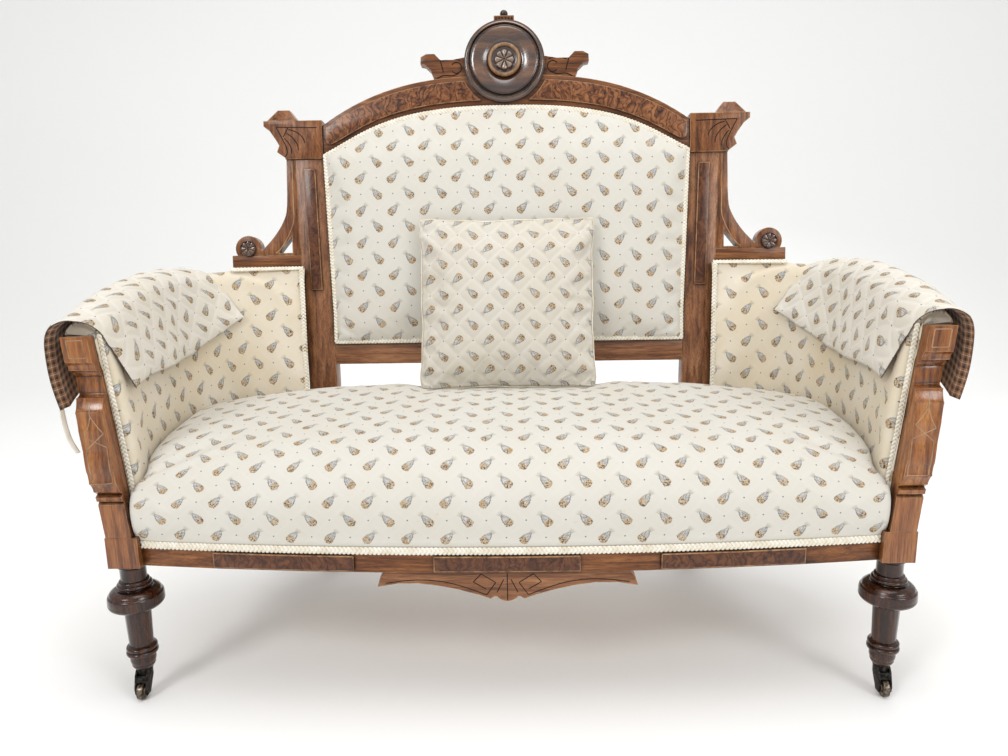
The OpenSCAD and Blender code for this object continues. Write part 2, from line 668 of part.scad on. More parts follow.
// The space of the arm post and its corner block, which the arm's other pieces are cut to
module corner_space() {
    translate([post_axis - arm_post_w / 2 - soft_gap, -block_w, block_top]) multmatrix(post_shear)
        cube([arm_half, block_w + post_back + soft_gap, arm_post_top - block_top + soft_gap]);
    translate([rail_end - soft_gap, -block_w, rail_low - over])
        cube([arm_half, block_w * 3 / 2 + soft_gap, block_h + over + soft_gap]);
}
module arm_pad() {
    inner = [for (i = [0:arm_stations]) [for (j = [0:len(roll_in_shares) - 1])
        section_point(i / arm_stations, roll_in_shares, wing_in_shares, j)]];
    outer = [for (i = [0:arm_stations]) [for (j = [0:len(roll_in_shares) - 1])
        section_point(i / arm_stations, roll_out_shares, wing_out_shares, j)]];
    color(cloth) settee() difference() {
        skin(inner, outer, true);
        corner_space();
    }
}
module arm_pad_left() { left() arm_pad(); }
module arm_pad_right() { arm_pad(); }

// A band of board that follows the arm's plan between two offsets, two heights and two stations
module arm_band(s0, s1, u0, u1, drop0, drop1, from_ridge, steps = 24) {
    function z_at(s, d) = from_ridge ? ridge(s) - d : d;
    inner = [for (i = [0:steps]) let (s = mix(s0, s1, i / steps))
        [arm_point(s, u0, z_at(s, drop0)), arm_point(s, u0, z_at(s, drop1))]];
    outer = [for (i = [0:steps]) let (s = mix(s0, s1, i / steps))
        [arm_point(s, u1, z_at(s, drop0)), arm_point(s, u1, z_at(s, drop1))]];
    skin(inner, outer, true);
}
outside_u = 46;
outside_t = 4;
side_inner_u = outside_u + outside_t - rail_t;
module side_rail() {
    color(walnut) settee() difference() {
        arm_band(0, 1, side_inner_u, outside_u + outside_t, rail_low, rail_top, false);
        corner_space();
    }
}
module side_rail_left() { left() side_rail(); }
module side_rail_right() { side_rail(); }
rear_rail_y = back_line + rail_top * tan(back_rake) + face_gap;
module rear_rail() {
    color(walnut) settee() translate([-post_in_low, rear_rail_y, rail_low])
        cube([2 * post_in_low, rail_t, rail_h]);
}
arm_rail_w = 9;
arm_rail_h = 30;
wing_stile_shares = [0.74, 0.79];
module arm_rails() {
    u0 = roll_w * pad_t_share + soft_gap;
    u1 = u0 + arm_rail_w;
    color(walnut) both() settee() difference() {
        union() {
            arm_band(0, wing_stile_shares[1], u0, u1, roll_h + arm_rail_h, roll_h + face_gap, true);
            arm_band(wing_stile_shares[0], wing_stile_shares[1], u0, u1, lean_line,
                arm_top_back - roll_h - arm_rail_h, false, 2);
            arm_band(wing_stile_shares[0], wing_stile_shares[1], u0, u1, rail_top, lean_line, false, 2);
        }
        corner_space();
    }
}
outside_steps = 24;
outside_rows = 3;
function outside_top(s) = ridge(s) - mix(strap_t, roll_h + arm_rail_w / 2, rolled(s));
function outside_grid(u) = [for (i = [0:outside_steps]) let (s = i / outside_steps)
    concat([arm_point(s, u, arm_low)],
        [for (j = [0:outside_rows]) arm_point(s, u, mix(lean_line, outside_top(s), j / outside_rows))])];
module outside_arms() {
    color(cloth) both() settee() difference() {
        skin(outside_grid(outside_u), outside_grid(outside_u + outside_t), true);
        corner_space();
    }
}
// Gimp on the front edge of the arm, under the wing rail and down the back post
gimp_rows = [1, 2, 3, 4, 5, 6, 7];
gimp_out_shares = [[-1, 0], [-1, 0], [-1, 0], [-1, 0], [-0.95, 0.2], [-0.8, 0.6], [-0.4, 0.9], [0, 1]];
gimp_from_share = 0.84;
gimp_edge_share = 0.985;
wing_gimp_gap = 3;
top_gimp_u = 1.5;
module arm_gimp() {
    function edge(j, u, s) = let (zr = ridge(s), q = roll_in_shares[j], n = gimp_out_shares[j])
        arm_point(s, q[0] * roll_w + n[0] * u,
            zr - q[1] * (zr - arm_low) - q[2] * roll_h + n[1] * u);
    near = 0;
    far = station(plan_at(0)[1] + gimp_w);
    color(braid) both() settee() {
        skin([for (j = gimp_rows) [edge(j, gimp_t + soft_gap, near), edge(j, gimp_t + soft_gap, far)]],
            [for (j = gimp_rows) [edge(j, soft_gap, near), edge(j, soft_gap, far)]]);
        arm_band(gimp_from_share, 1, top_gimp_u - gimp_t, top_gimp_u, gimp_w + gimp_t, gimp_t, true, 8);
        arm_band(gimp_edge_share, 1, -gimp_t - wing_gimp_gap, -wing_gimp_gap, seat_top,
            arm_top_back - gimp_w - gimp_t * 2, false, 1);
    }
}

// Seat pad: crowned, with a rolled nose over the front rail and a hollow below for the springs
seat_rows_shares = [
    [0.000, 0.015], [0.005, 0.16], [0.010, 0.34], [0.022, 0.50], [0.052, 0.66], [0.100, 0.77],
    [0.180, 0.85], [0.300, 0.915], [0.450, 0.965], [0.600, 0.99], [0.740, 1.00], [0.860, 0.99],
    [0.940, 0.965], [0.985, 0.935], [1.000, 0.925]
];
nose_shares = [0, 0.75, 1, 0.9, 0.55, 0, 0, 0, 0, 0, 0, 0, 0, 0, 0];
nose_rows = 5;
seat_low = rail_top + face_gap;
seat_cols = 28;
// Half width of the seat inside the arms' inner faces, and the depth where the wings end
seat_in = 3.5;
plan_table = [for (i = [0:plan_stations]) let (s = i / plan_stations,
    c = plan_at(s) - seat_in * plan_normal(s)) [c[1], c[0]]];
wing_y = plan_table[plan_stations][0];
seat_front_y = -rail_face;
seat_curve_rows = len(seat_rows_shares);
seat_last_rise = 0.9;
function seat_half(y) = y > wing_y ? post_in_low - seat_gap : lookup(y, plan_table);
function seat_y(r) = r < seat_curve_rows ? mix(seat_front_y, wing_y, seat_rows_shares[r][0])
    : r == seat_curve_rows ? wing_y + seat_gap : seat_back;
function seat_bow(a) = rail_bow * a * a;
function seat_share(r) = r < seat_curve_rows ? seat_rows_shares[r][0] : 1;
function seat_nose_out(r) = r < seat_curve_rows ? nose_shares[r] * seat_nose : 0;
function seat_xy(a, r) = let (y = seat_y(r), bow = seat_bow(a) * max(0, 1 - 4 * seat_share(r)))
    [a * seat_half(y), y + bow - seat_nose_out(r)];
side_fall_power = 3;
side_fall_rate = 1.6;
function seat_rise(a, k) = seat_low + (seat_top - seat_low
    - seat_side_fall * pow(abs(a), side_fall_power) * smooth(k * side_fall_rate)) * k;
function seat_z(a, r) = seat_rise(a, r < seat_curve_rows ? seat_rows_shares[r][1] : seat_last_rise);
// Height of the seat's top at a place
function seat_height(x, y) = seat_rise(x / (seat_half(y) - seat_gap),
    lookup((y - seat_front_y) / (wing_y - seat_front_y), seat_rows_shares));
spring_cover = 85;
spring_top = seat_top - spring_cover;
hollow_share = 0.9;
module seat_pad() {
    rows = seat_curve_rows + 1;
    top = [for (r = [0:rows]) [for (c = [0:seat_cols])
        let (a = back_share(c, seat_cols), q = seat_xy(a, r)) [q[0], q[1], seat_z(a, r)]]];
    low = [for (r = [0:rows]) [for (c = [0:seat_cols])
        let (a = back_share(c, seat_cols), q = seat_xy(a, r),
            inside = r > nose_rows && r < seat_curve_rows - 3 && abs(a) < hollow_share)
        [q[0], q[1] + seat_nose_out(r), inside ? spring_top : seat_low]]];
    color(cloth) settee() skin(top, low, true);
}
module seat_hessian() {
    color(jute) settee()
        translate([-spring_pitch_x * spring_cols / 2, spring_y0 - spring_r, spring_top - strap_t - face_gap])
            cube([spring_pitch_x * spring_cols, spring_pitch_y + 2 * spring_r, strap_t]);
}
spring_r = 46;
spring_cols = 6;
spring_span_share = 0.7614;
spring_pitch_x = 2 * arm_half * spring_span_share / spring_cols;
spring_pitch_y = 140;
spring_y0 = 110;
spring_turns = 6;
spring_waist_share = 0.62;
spring_wire_r = 2;
// An hourglass coil spring, hidden in the seat, as a closed ribbed shell
module coil(height) {
    steps = spring_turns * 6;
    function wall(i) = let (t = i / steps)
        spring_r * mix(spring_waist_share, 1, pow(abs(2 * t - 1), 1.5))
            - spring_wire_r * (2 - cos(360 * spring_turns * t));
    rotate_extrude() polygon(concat(
        [for (i = [0:steps]) [wall(i), height * i / steps]],
        [for (i = [steps:-1:0]) [wall(i) - spring_wire_r, height * i / steps]]));
}
module seat_springs() {
    low = rail_low + face_gap;
    color(iron) settee() for (i = [0:spring_cols - 1], j = [0:1])
        translate([(i - (spring_cols - 1) / 2) * spring_pitch_x, spring_y0 + j * spring_pitch_y, low])
            coil(spring_top - strap_t - 2 * face_gap - low);
}
seat_strap_count = 8;
seat_strap_pitch = 84;
seat_long_count = 3;
strap_lap = 8;
// Jute straps under the rails; the ends of the short ones are folded over and tacked
module seat_webbing() {
    far = rear_rail_y + strap_lap;
    color(jute) settee() {
        for (i = [0:seat_strap_count - 1]) let (x = (i - (seat_strap_count - 1) / 2) * seat_strap_pitch,
            near = rail_inner(abs(x) - strap_w / 2) - strap_lap)
            translate([x - strap_w / 2, near, rail_low - 2 * strap_t]) {
                cube([strap_w, far - near, strap_t]);
                cube([strap_w, strap_lap, 2 * strap_t]);
                translate([0, far - near - strap_lap, 0]) cube([strap_w, strap_lap, 2 * strap_t]);
            }
        for (j = [0:seat_long_count - 1])
            translate([-arm_half - side_inner_u - strap_lap,
                spring_y0 + j * spring_pitch_y / (seat_long_count - 1) - strap_w / 2, rail_low - strap_t])
                cube([2 * (arm_half + side_inner_u + strap_lap), strap_w, strap_t]);
    }
}
brace_w = 70;
brace_h = 28;
brace_d = 45;
module corner_braces() {
    z = rail_low + (rail_h - brace_h) / 2;
    side_x = rail_end - face_gap;
    far_x = side_x - brace_w;
    color(walnut) settee() both() translate([0, 0, z]) linear_extrude(height = brace_h) {
        polygon([[side_x, rail_inner(side_x) + face_gap], [side_x, rail_inner(side_x) + brace_d],
            [far_x, rail_inner(far_x) + face_gap]]);
        translate([post_in_low - face_gap, rear_rail_y - face_gap])
            polygon([[0, 0], [0, -brace_d], [-brace_w, 0]]);
    }
}

// Front corners: block, arm post above and turned leg below
tenon_r = 12;
tenon_h = 26;
dowel_r = 5;
dowel_l = 40;
rail_dowel_l = 2 * (leg_x - tenon_r - over - rail_end);
dowel_z_shares = [0.3, 0.7];
module rail_dowels() {
    y = rail_inner(rail_end) - rail_t / 2;
    for (s = [-1, 1], q = dowel_z_shares)
        translate([s * rail_end - rail_dowel_l / 2, y, rail_low + rail_h * q])
            rotate([0, 90, 0]) cylinder(h = rail_dowel_l, r = dowel_r, $fn = 24);
}
block_h = 50;
block_top = rail_low + block_h;
post_outset = 3;
post_axis = leg_x + post_outset;
post_front = block_w / 2;
post_back = arm_post_d - post_front;
module post_dowels() {
    for (s = [-1, 1]) translate([s * leg_x, dowel_r, block_top - dowel_l / 2])
        cylinder(h = dowel_l, r = dowel_r, $fn = 24);
}
module corner_blocks() {
    color(walnut) settee() difference() {
        both() translate([leg_x - block_w / 2, -block_w / 2, rail_low]) cube([block_w, block_w, block_h]);
        both() translate([leg_x, 0, rail_low - over]) cylinder(h = tenon_h + over, r = tenon_r);
        rail_dowels();
        post_dowels();
    }
}
module dowels() { color("#c9a46a") settee() { rail_dowels(); post_dowels(); } }
post_shear = [[1, 0, tan(arm_post_lean), 0], [0, 1, 0, 0], [0, 0, 1, 0]];
// Side profile of the arm post: forward reach against height, both as shares
post_profile_shares = [
    [1.00, 0.00], [1.00, 0.17], [0.86, 0.185], [1.10, 0.195], [1.12, 0.215], [0.86, 0.225],
    [1.20, 0.245], [1.42, 0.275], [1.48, 0.31], [1.44, 0.36], [1.34, 0.45], [1.34, 0.56],
    [1.30, 0.63], [1.10, 0.69], [0.70, 0.715], [0.42, 0.72], [0.36, 0.80], [0.62, 0.83],
    [1.00, 0.84], [1.04, 0.87], [1.20, 0.88], [1.20, 1.00]
];
module arm_post() {
    rise = arm_post_top - block_top;
    color(walnut) settee() difference() {
        translate([post_axis - arm_post_w / 2, 0, block_top]) multmatrix(post_shear)
            rotate([90, 0, 90]) linear_extrude(height = arm_post_w)
                polygon(concat([[post_back, 0]],
                    [for (q = post_profile_shares) [-q[0] * post_front, q[1] * rise]],
                    [[post_back, rise]]));
        post_dowels();
    }
}
module arm_post_left() { left() arm_post(); }
module arm_post_right() { arm_post(); }

// Turned front leg: radius and height as shares of the disc's radius and of the leg's length
leg_top = rail_low;
leg_shares = [
    [0.50, 1.00], [0.52, 0.975], [0.45, 0.96], [0.45, 0.855], [0.52, 0.84], [0.56, 0.80],
    [0.56, 0.765], [0.84, 0.75], [0.88, 0.725], [0.95, 0.73], [1.00, 0.69], [1.00, 0.65], [0.94, 0.615],
    [0.80, 0.60], [0.55, 0.59]
];
disc_drop = 18;
shaft_bottom_z = 95;
shaft_taper = 2;
ankle_h = 20;
ankle_r = 23.5;
foot_r = 13.5;
cup_r = 17.5;
cup_h = 22;
// Ankle bead and cup: radius and fall as shares of the ankle's radius and height
ankle_shares = [[0.87, 0.10], [1.00, 0.35], [1.00, 0.70], [0.87, 0.95]];
module leg_profile() {
    span = leg_top - caster_h;
    head = [for (q = leg_shares) [q[0] * disc_r, caster_h + q[1] * span]];
    shaft = [[shaft_r, disc_z - disc_drop], [shaft_r - shaft_taper, shaft_bottom_z]];
    ankle = [for (q = ankle_shares) [q[0] * ankle_r, shaft_bottom_z - q[1] * ankle_h]];
    cup = [[cup_r, shaft_bottom_z - ankle_h], [cup_r, caster_h + cup_h * 0.8],
        [mix(foot_r, cup_r, 0.5), caster_h + cup_h * 0.35], [foot_r, caster_h]];
    polygon(concat([[0, leg_top + tenon_h], [tenon_r, leg_top + tenon_h], [tenon_r, leg_top]],
        head, shaft, ankle, cup, [[0, caster_h]]));
}
stem_depth = 26;
module stem_hole() {
    translate([0, 0, caster_h - over]) cylinder(h = stem_depth + over, r = stem_r, $fn = 32);
}
module front_leg() {
    color(ebonised) settee() translate([leg_x, 0, 0]) difference() {
        rotate_extrude($fn = 64) leg_profile();
        stem_hole();
    }
}
module front_leg_left() { left() front_leg(); }
module front_leg_right() { front_leg(); }

// Casters: a fixed stem and plate, a swivelling horn and a wheel on its pin
plate_t = 3;
plate_r = 13;
horn_top = caster_h - plate_t - face_gap;
boss_h = 7;
boss_r = 9;
cheek_t = 3;
cheek_gap = 0.5;
stem_head_r = 6;
stem_head_t = 2;
horn_low = horn_top - boss_h;
rear_x = rear_leg_in + rear_foot_w / 2;
caster_places = [[-leg_x, 0], [leg_x, 0], [-rear_x, rear_foot_y], [rear_x, rear_foot_y]];
module caster_stems() {
    color(iron) settee() for (q = caster_places) translate([q[0], q[1], 0]) {
        translate([0, 0, caster_h - plate_t]) cylinder(h = plate_t, r = plate_r);
        translate([0, 0, horn_low - face_gap]) cylinder(h = stem_depth + caster_h - horn_low + face_gap,
            r = stem_r, $fn = 32);
        translate([0, 0, horn_low - face_gap - stem_head_t])
            cylinder(h = stem_head_t, r = stem_head_r, $fn = 32);
    }
}
module caster_horn(i) {
    x0 = wheel_w / 2 + cheek_gap;
    q = caster_places[i];
    color(iron) settee() translate([q[0], q[1], 0]) {
        difference() {
            union() {
                translate([0, 0, horn_low]) cylinder(h = boss_h, r = boss_r + cheek_t);
                for (s = [-1, 1]) translate([s * (x0 + cheek_t / 2) - cheek_t / 2, 0, 0])
                    rotate([90, 0, 90]) linear_extrude(height = cheek_t) polygon([
                        [-boss_r, horn_top], [boss_r * 0.7, horn_top],
                        [boss_r * 0.6, horn_low - boss_h], [-trail + axle_r * 2, wheel_r - axle_r * 2],
                        [-trail - axle_r * 2, wheel_r - axle_r * 2],
                        [-trail - axle_r * 2.4, wheel_r + axle_r * 2], [-trail, horn_low]
                    ]);
            }
            translate([0, 0, horn_low - over])
                cylinder(h = boss_h + 2 * over, r = stem_r + run_gap, $fn = 32);
            translate([-x0 - cheek_t - over, -trail, wheel_r]) rotate([0, 90, 0])
                cylinder(h = 2 * (x0 + cheek_t + over), r = axle_r, $fn = 24);
        }
        translate([-x0 - cheek_t, -trail, wheel_r]) rotate([0, 90, 0])
            cylinder(h = 2 * (x0 + cheek_t), r = axle_r, $fn = 24);
    }
}
module caster_wheel(i) {
    q = caster_places[i];
    hub_share = 0.55;
    dish = 2;
    color("#8d8478") settee() translate([q[0] - wheel_w / 2, q[1] - trail, wheel_r]) rotate([0, 90, 0])
        rotate_extrude($fn = 64) polygon([
            [axle_r + run_gap, 0], [wheel_r * hub_share, 0], [wheel_r * hub_share, dish],
            [wheel_r - dish, dish], [wheel_r, dish * 1.5], [wheel_r, wheel_w - dish * 1.5],
            [wheel_r - dish, wheel_w - dish], [wheel_r * hub_share, wheel_w - dish],
            [wheel_r * hub_share, wheel_w], [axle_r + run_gap, wheel_w]
        ]);
}
module caster_horn_front_left() { caster_horn(0); }
module caster_horn_front_right() { caster_horn(1); }
module caster_horn_rear_left() { caster_horn(2); }
module caster_horn_rear_right() { caster_horn(3); }
module caster_wheel_front_left() { caster_wheel(0); }
module caster_wheel_front_right() { caster_wheel(1); }
module caster_wheel_rear_left() { caster_wheel(2); }
module caster_wheel_rear_right() { caster_wheel(3); }

// Loose quilted arm covers draped over the rolled arms, and the tie tape of the left one
cover_end_share = 0.66;
cover_stations = 18;
cover_gap = gimp_t + 2 * soft_gap;
cover_shares = [[-0.09, 0.29, 0], [-0.065, 0.15, 0], [0, 0, 0.6], [0.08, 0, 0.27], [0.27, 0, 0.07],
    [0.5, 0, 0], [0.75, 0, 0.03], [1.02, 0, 0.16], [1.24, 0, 0.42], [1.34, 0, 0.9], [1.35, 0, 1.3],
    [1.30, 0, 1.7]];
cover_out_shares = [[-1, 0], [-1, 0], [-0.95, 0.2], [-0.8, 0.6], [-0.4, 0.9], [0, 1], [0.2, 1],
    [0.5, 0.85], [0.9, 0.45], [1, 0.1], [1, 0], [1, -0.1]];
function cover_point(s, j, out) = let (zr = ridge(s), q = cover_shares[j], n = cover_out_shares[j])
    arm_point(s, q[0] * roll_w + n[0] * out,
        zr - q[1] * (zr - arm_low) - q[2] * roll_h + n[1] * out);
cover_front = 24;
function cover_station(i, j, out) = i == 0 ? cover_point(0, j, out) - [0, cover_front, 0]
    : cover_point((i - 1) / (cover_stations - 1) * cover_end_share, j, out);
module arm_cover() {
    inner = [for (i = [0:cover_stations]) [for (j = [0:len(cover_shares) - 1])
        cover_station(i, j, cover_gap + cover_t)]];
    outer = [for (i = [0:cover_stations]) [for (j = [0:len(cover_shares) - 1])
        cover_station(i, j, cover_gap)]];
    color(quilt) settee() skin(inner, outer, true);
}
module arm_cover_left() { left() arm_cover(); }
module arm_cover_right() { arm_cover(); }
tape_w = 8;
tape_t = 1;
tape_shares = [[0, 0], [0.02, -0.35], [0.1, -0.7], [0.25, -1]];
tape_l = 66;
module cover_tie_tape() {
    top = cover_station(0, len(cover_shares) - 1, cover_gap + cover_t / 2);
    line = [for (i = [0:8]) let (q = spline(tape_shares, i / 8))
        [top[0] - q[0] * tape_l, top[1] + tape_w / 2, top[2] - face_gap + q[1] * tape_l]];
    near = [for (p = line) [p - [tape_t / 2, tape_w / 2, 0], p - [tape_t / 2, -tape_w / 2, 0]]];
    far = [for (p = line) [p + [tape_t / 2, -tape_w / 2, 0], p + [tape_t / 2, tape_w / 2, 0]]];
    color(braid) settee() left() skin(near, far, true);
}

// Throw pillow: square, crowned, with drawn-in sides, leaning on the back panel
pillow_n = 16;
pillow_edge = 8;
pillow_pinch_share = 0.035;
pillow_power = 0.5;
pillow_gap = 2.4;
pillow_mid_h = seat_top + pillow_h / 2 * cos(pillow_lean);
pillow_y = back_line + pillow_mid_h * tan(back_rake) - (back_pad_edge + back_crown) / cos(back_rake)
    - pillow_t / 2 / cos(pillow_lean) - pillow_h / 2 * sin(pillow_lean) - pillow_gap;
pillow_foot = seat_height(pillow_w / 2, pillow_y) + face_gap;
module throw_pillow() {
    function spot(a, b, side) = let (
        x = a * pillow_w / 2 * (1 - pillow_pinch_share * (1 - b * b)),
        z = b * pillow_h / 2 * (1 - pillow_pinch_share * (1 - a * a)),
        t = pillow_edge / 2 + (pillow_t - pillow_edge) / 2 * pow((1 - a * a) * (1 - b * b), pillow_power))
        [x, side * t, z];
    function eased(i) = sin(90 * back_share(i, pillow_n));
    front = [for (r = [0:pillow_n]) [for (c = [0:pillow_n]) spot(eased(c), eased(r), -1)]];
    back = [for (r = [0:pillow_n]) [for (c = [0:pillow_n]) spot(eased(c), eased(r), 1)]];
    color(quilt) settee() translate([0, pillow_y, pillow_foot]) rotate([-pillow_lean, 0, 0])
        translate([0, 0, pillow_h / 2]) skin(front, back, true);
}

// Front and back of the whole settee: the seat's nose and the block on the crest
front_y = min([for (r = [0:nose_rows]) seat_y(r) - nose_shares[r] * seat_nose]);
rear_y = back_line + (crest_block_low + crest_block_h) * sin(back_rake) + frame_t * cos(back_rake);
mid_y = (front_y + rear_y) / 2;

back_post_left();
back_post_right();
post_cap_left();
post_cap_right();
post_finials();
crest_rail();
lower_back_rail();
arch_burl_panels();
post_burl_panels();
crest_board();
medallion();
medallion_ring();
medallion_rosette();
crest_block();
crest_ball();
wing_rail_left();
wing_rail_right();
wing_bracket_left();
wing_bracket_right();
roundels();
back_pad();
back_gimp();
back_webbing();
outside_back();
front_rail();
side_rail_left();
side_rail_right();
rear_rail();
rail_burl_panels();
apron();
corner_braces();
seat_webbing();
seat_springs();
seat_hessian();
seat_pad();
seat_gimp();
corner_blocks();
arm_post_left();
arm_post_right();
front_leg_left();
front_leg_right();
arm_rails();
arm_pad_left();
arm_pad_right();
outside_arms();
arm_gimp();
arm_cover_left();
arm_cover_right();
cover_tie_tape();
throw_pillow();
dowels();
caster_stems();
caster_horn_front_left();
caster_horn_front_right();
caster_horn_rear_left();
caster_horn_rear_right();
caster_wheel_front_left();
caster_wheel_front_right();
caster_wheel_rear_left();
caster_wheel_rear_right();
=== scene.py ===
import math
from functools import partial

import bmesh
import bpy
import numpy as np
from mathutils import Matrix, Vector


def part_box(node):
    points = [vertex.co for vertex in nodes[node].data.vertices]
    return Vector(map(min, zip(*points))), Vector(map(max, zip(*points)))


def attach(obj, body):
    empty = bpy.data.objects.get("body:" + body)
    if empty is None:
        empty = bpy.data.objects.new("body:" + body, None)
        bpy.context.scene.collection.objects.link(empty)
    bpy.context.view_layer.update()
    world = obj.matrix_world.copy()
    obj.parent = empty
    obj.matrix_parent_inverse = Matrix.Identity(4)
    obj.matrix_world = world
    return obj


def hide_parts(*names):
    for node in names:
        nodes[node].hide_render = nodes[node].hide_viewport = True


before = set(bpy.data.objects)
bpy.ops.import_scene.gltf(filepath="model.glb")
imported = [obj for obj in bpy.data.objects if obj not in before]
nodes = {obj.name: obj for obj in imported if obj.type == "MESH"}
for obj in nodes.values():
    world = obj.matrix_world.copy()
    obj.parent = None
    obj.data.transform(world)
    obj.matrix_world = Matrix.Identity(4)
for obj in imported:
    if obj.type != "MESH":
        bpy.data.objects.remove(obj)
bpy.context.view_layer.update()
print("frame loaded:", len(nodes), "nodes")

# Places in the settee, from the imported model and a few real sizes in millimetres
settee = {
    "rake": 7.0,          # backward lean of the back frame, degrees
    "backLine": 366.0,    # back frame behind the front leg axis, at the floor
    "leanLine": 362.0,    # height at which the arms begin to lean outwards
}
legLow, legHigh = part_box("front_leg_right")
legX = (legLow.x + legHigh.x) * 500
legAxis = (legLow.y + legHigh.y) / 2
rake = math.radians(settee["rake"])
backMatrix = Matrix.Translation((0, legAxis + settee["backLine"] / 1000, 0)) @ Matrix.Rotation(-rake, 4, "X")


def place(points):
    # millimetres from the front leg axis to metres in the frame
    return np.asarray(points, float) / 1000 + (0, legAxis, 0)


def onBack(points):
    # millimetres in the back frame's plane, across, behind and up its slope, to metres in the frame
    flat = np.asarray(points, float) / 1000
    turn = np.array(backMatrix.to_3x3())
    return flat @ turn.T + np.array(backMatrix.translation)


def follow(points, share):
    # a smooth curve through the points, at shares of its length from 0 to 1
    p = np.asarray(points, float)
    last = len(p) - 1
    f = np.clip(np.asarray(share, float), 0, 0.99999) * last
    i = np.floor(f).astype(int)
    t = (f - i)[..., None] if p.ndim > 1 else f - i
    a, b, c, d = (p[np.clip(i + k, 0, last)] for k in (-1, 0, 1, 2))
    curve = 2 * b + (c - a) * t + (2 * a - 5 * b + 4 * c - d) * t * t
    return 0.5 * (curve + (3 * b - a - 3 * c + d) * t ** 3)


def ease(t):
    t = np.clip(t, 0, 1)
    return t * t * (3 - 2 * t)


def arcLengths(points, axis=0):
    # running length along one axis of a grid of points
    steps = np.linalg.norm(np.diff(points, axis=axis), axis=-1)
    start = np.zeros_like(np.take(steps, [0], axis=axis))
    return np.concatenate([start, np.cumsum(steps, axis=axis)], axis=axis)


# Materials
def linear(code):
    # an sRGB hex colour as linear red, green, blue and alpha
    parts = [int(code[i:i + 2], 16) / 255 for i in (1, 3, 5)]
    return (*[c / 12.92 if c <= 0.04045 else ((c + 0.055) / 1.055) ** 2.4 for c in parts], 1.0)


def add(tree, kind, *values, stops=(), **settings):
    # adds a node: "Math.ADD" is a kind with its operation, the values fill its inputs in order,
    # and a dictionary at the end fills them by name
    kind, _, mode = kind.partition(".")
    made = tree.nodes.new("ShaderNode" + kind)
    if mode:
        setattr(made, "blend_type" if kind == "MixRGB" else "operation", mode)
    for name, value in settings.items():
        setattr(made, name, value)
    named = values[-1] if values and isinstance(values[-1], dict) else {}
    for key, value in [*enumerate(values[:-1] if named else values), *named.items()]:
        if isinstance(value, bpy.types.Node):
            value = value.outputs[0]
        if isinstance(value, bpy.types.NodeSocket):
            tree.links.new(value, made.inputs[key])
        elif isinstance(value, str):
            made.inputs[key].default_value = linear(value)
        elif value is not None:
            made.inputs[key].default_value = value
    for i, (spot, code) in enumerate(stops):
        mark = made.color_ramp.elements[i] if i < 2 else made.color_ramp.elements.new(spot)
        mark.position = spot
        mark.color = linear(code)
    return made


def startMaterial(name):
    # an empty material and the function that adds nodes to it
    material = bpy.data.materials.new(name)
    material.use_nodes = True
    material.node_tree.nodes.clear()
    return material, partial(add, material.node_tree)


def noise(put, where, scale, detail, roughness=0.5, distortion=0.0):
    return put("TexNoise", where, {"Scale": scale, "Detail": detail, "Roughness": roughness,
                                   "Distortion": distortion})


def ramp(put, value, low, high, start=0.0, end=1.0):
    # a straight change from start to end while the value goes from low to high
    return put("MapRange", value, {"From Min": low, "From Max": high, "To Min": start, "To Max": end})


def closeMaterial(put, colour, roughness, relief, more):
    # the shader itself, with a bump given by its strength, its reach in metres and its height
    bump = put("Bump", dict(zip(("Strength", "Distance", "Height"), relief)))
    shader = {"Base Color": colour, "Roughness": roughness, "Normal": bump, **more}
    put("OutputMaterial", put("BsdfPrincipled", shader))


walnut = {
    "dark": "#3a1f0d", "mid": "#784721", "light": "#a76f3f",   # oiled black walnut, old finish
    "band": 9.0,          # mm across a band of grain
    "pore": 0.9,          # mm across a pore, drawn coarser than the real 0.3 mm so that it shows
    "stretch": 16.0,      # how many times longer the figure is along the grain
    "grimeAndShadeReach": 15.0,        # mm reach of old polish and painted shade in the corners
}


woods = {       # dark, middle and light tone, and mm across a band where it isn't walnut's own
    "worn": ("#3a1f0d", "#7a5233", "#a57c55"),
    "ebonised": ("#150a06", "#3a2014", "#603c29"),
    "medal": ("#2e1c13", "#523523", "#875f42", 22.0),
    # petals: a paler, greyer walnut tone, painted sheen for the rosette's gloss
    "petals": ("#4b382e", "#86705f", "#ab9683", 22.0),
    "roundel": ("#2c1a12", "#5a3d2b", "#8a6a52", 22.0),
    "ring": ("#6e4d33", "#94704f", "#b39272"),
    "orange": ("#482610", "#8f5527", "#bd8146"),
    # painted light: a lighter walnut for parts that stand in less light
    "paintedLight": ("#4c3022", "#8a5b3b", "#b07f57"),
    "incised": ("#120a07", "#1f120c", "#2d1b12"),
    "oak": ("#5e4428", "#8e6c42", "#b08d5e", 6.0),
    "beech": ("#b48a58", "#caa472", "#dcbd8e"),
}


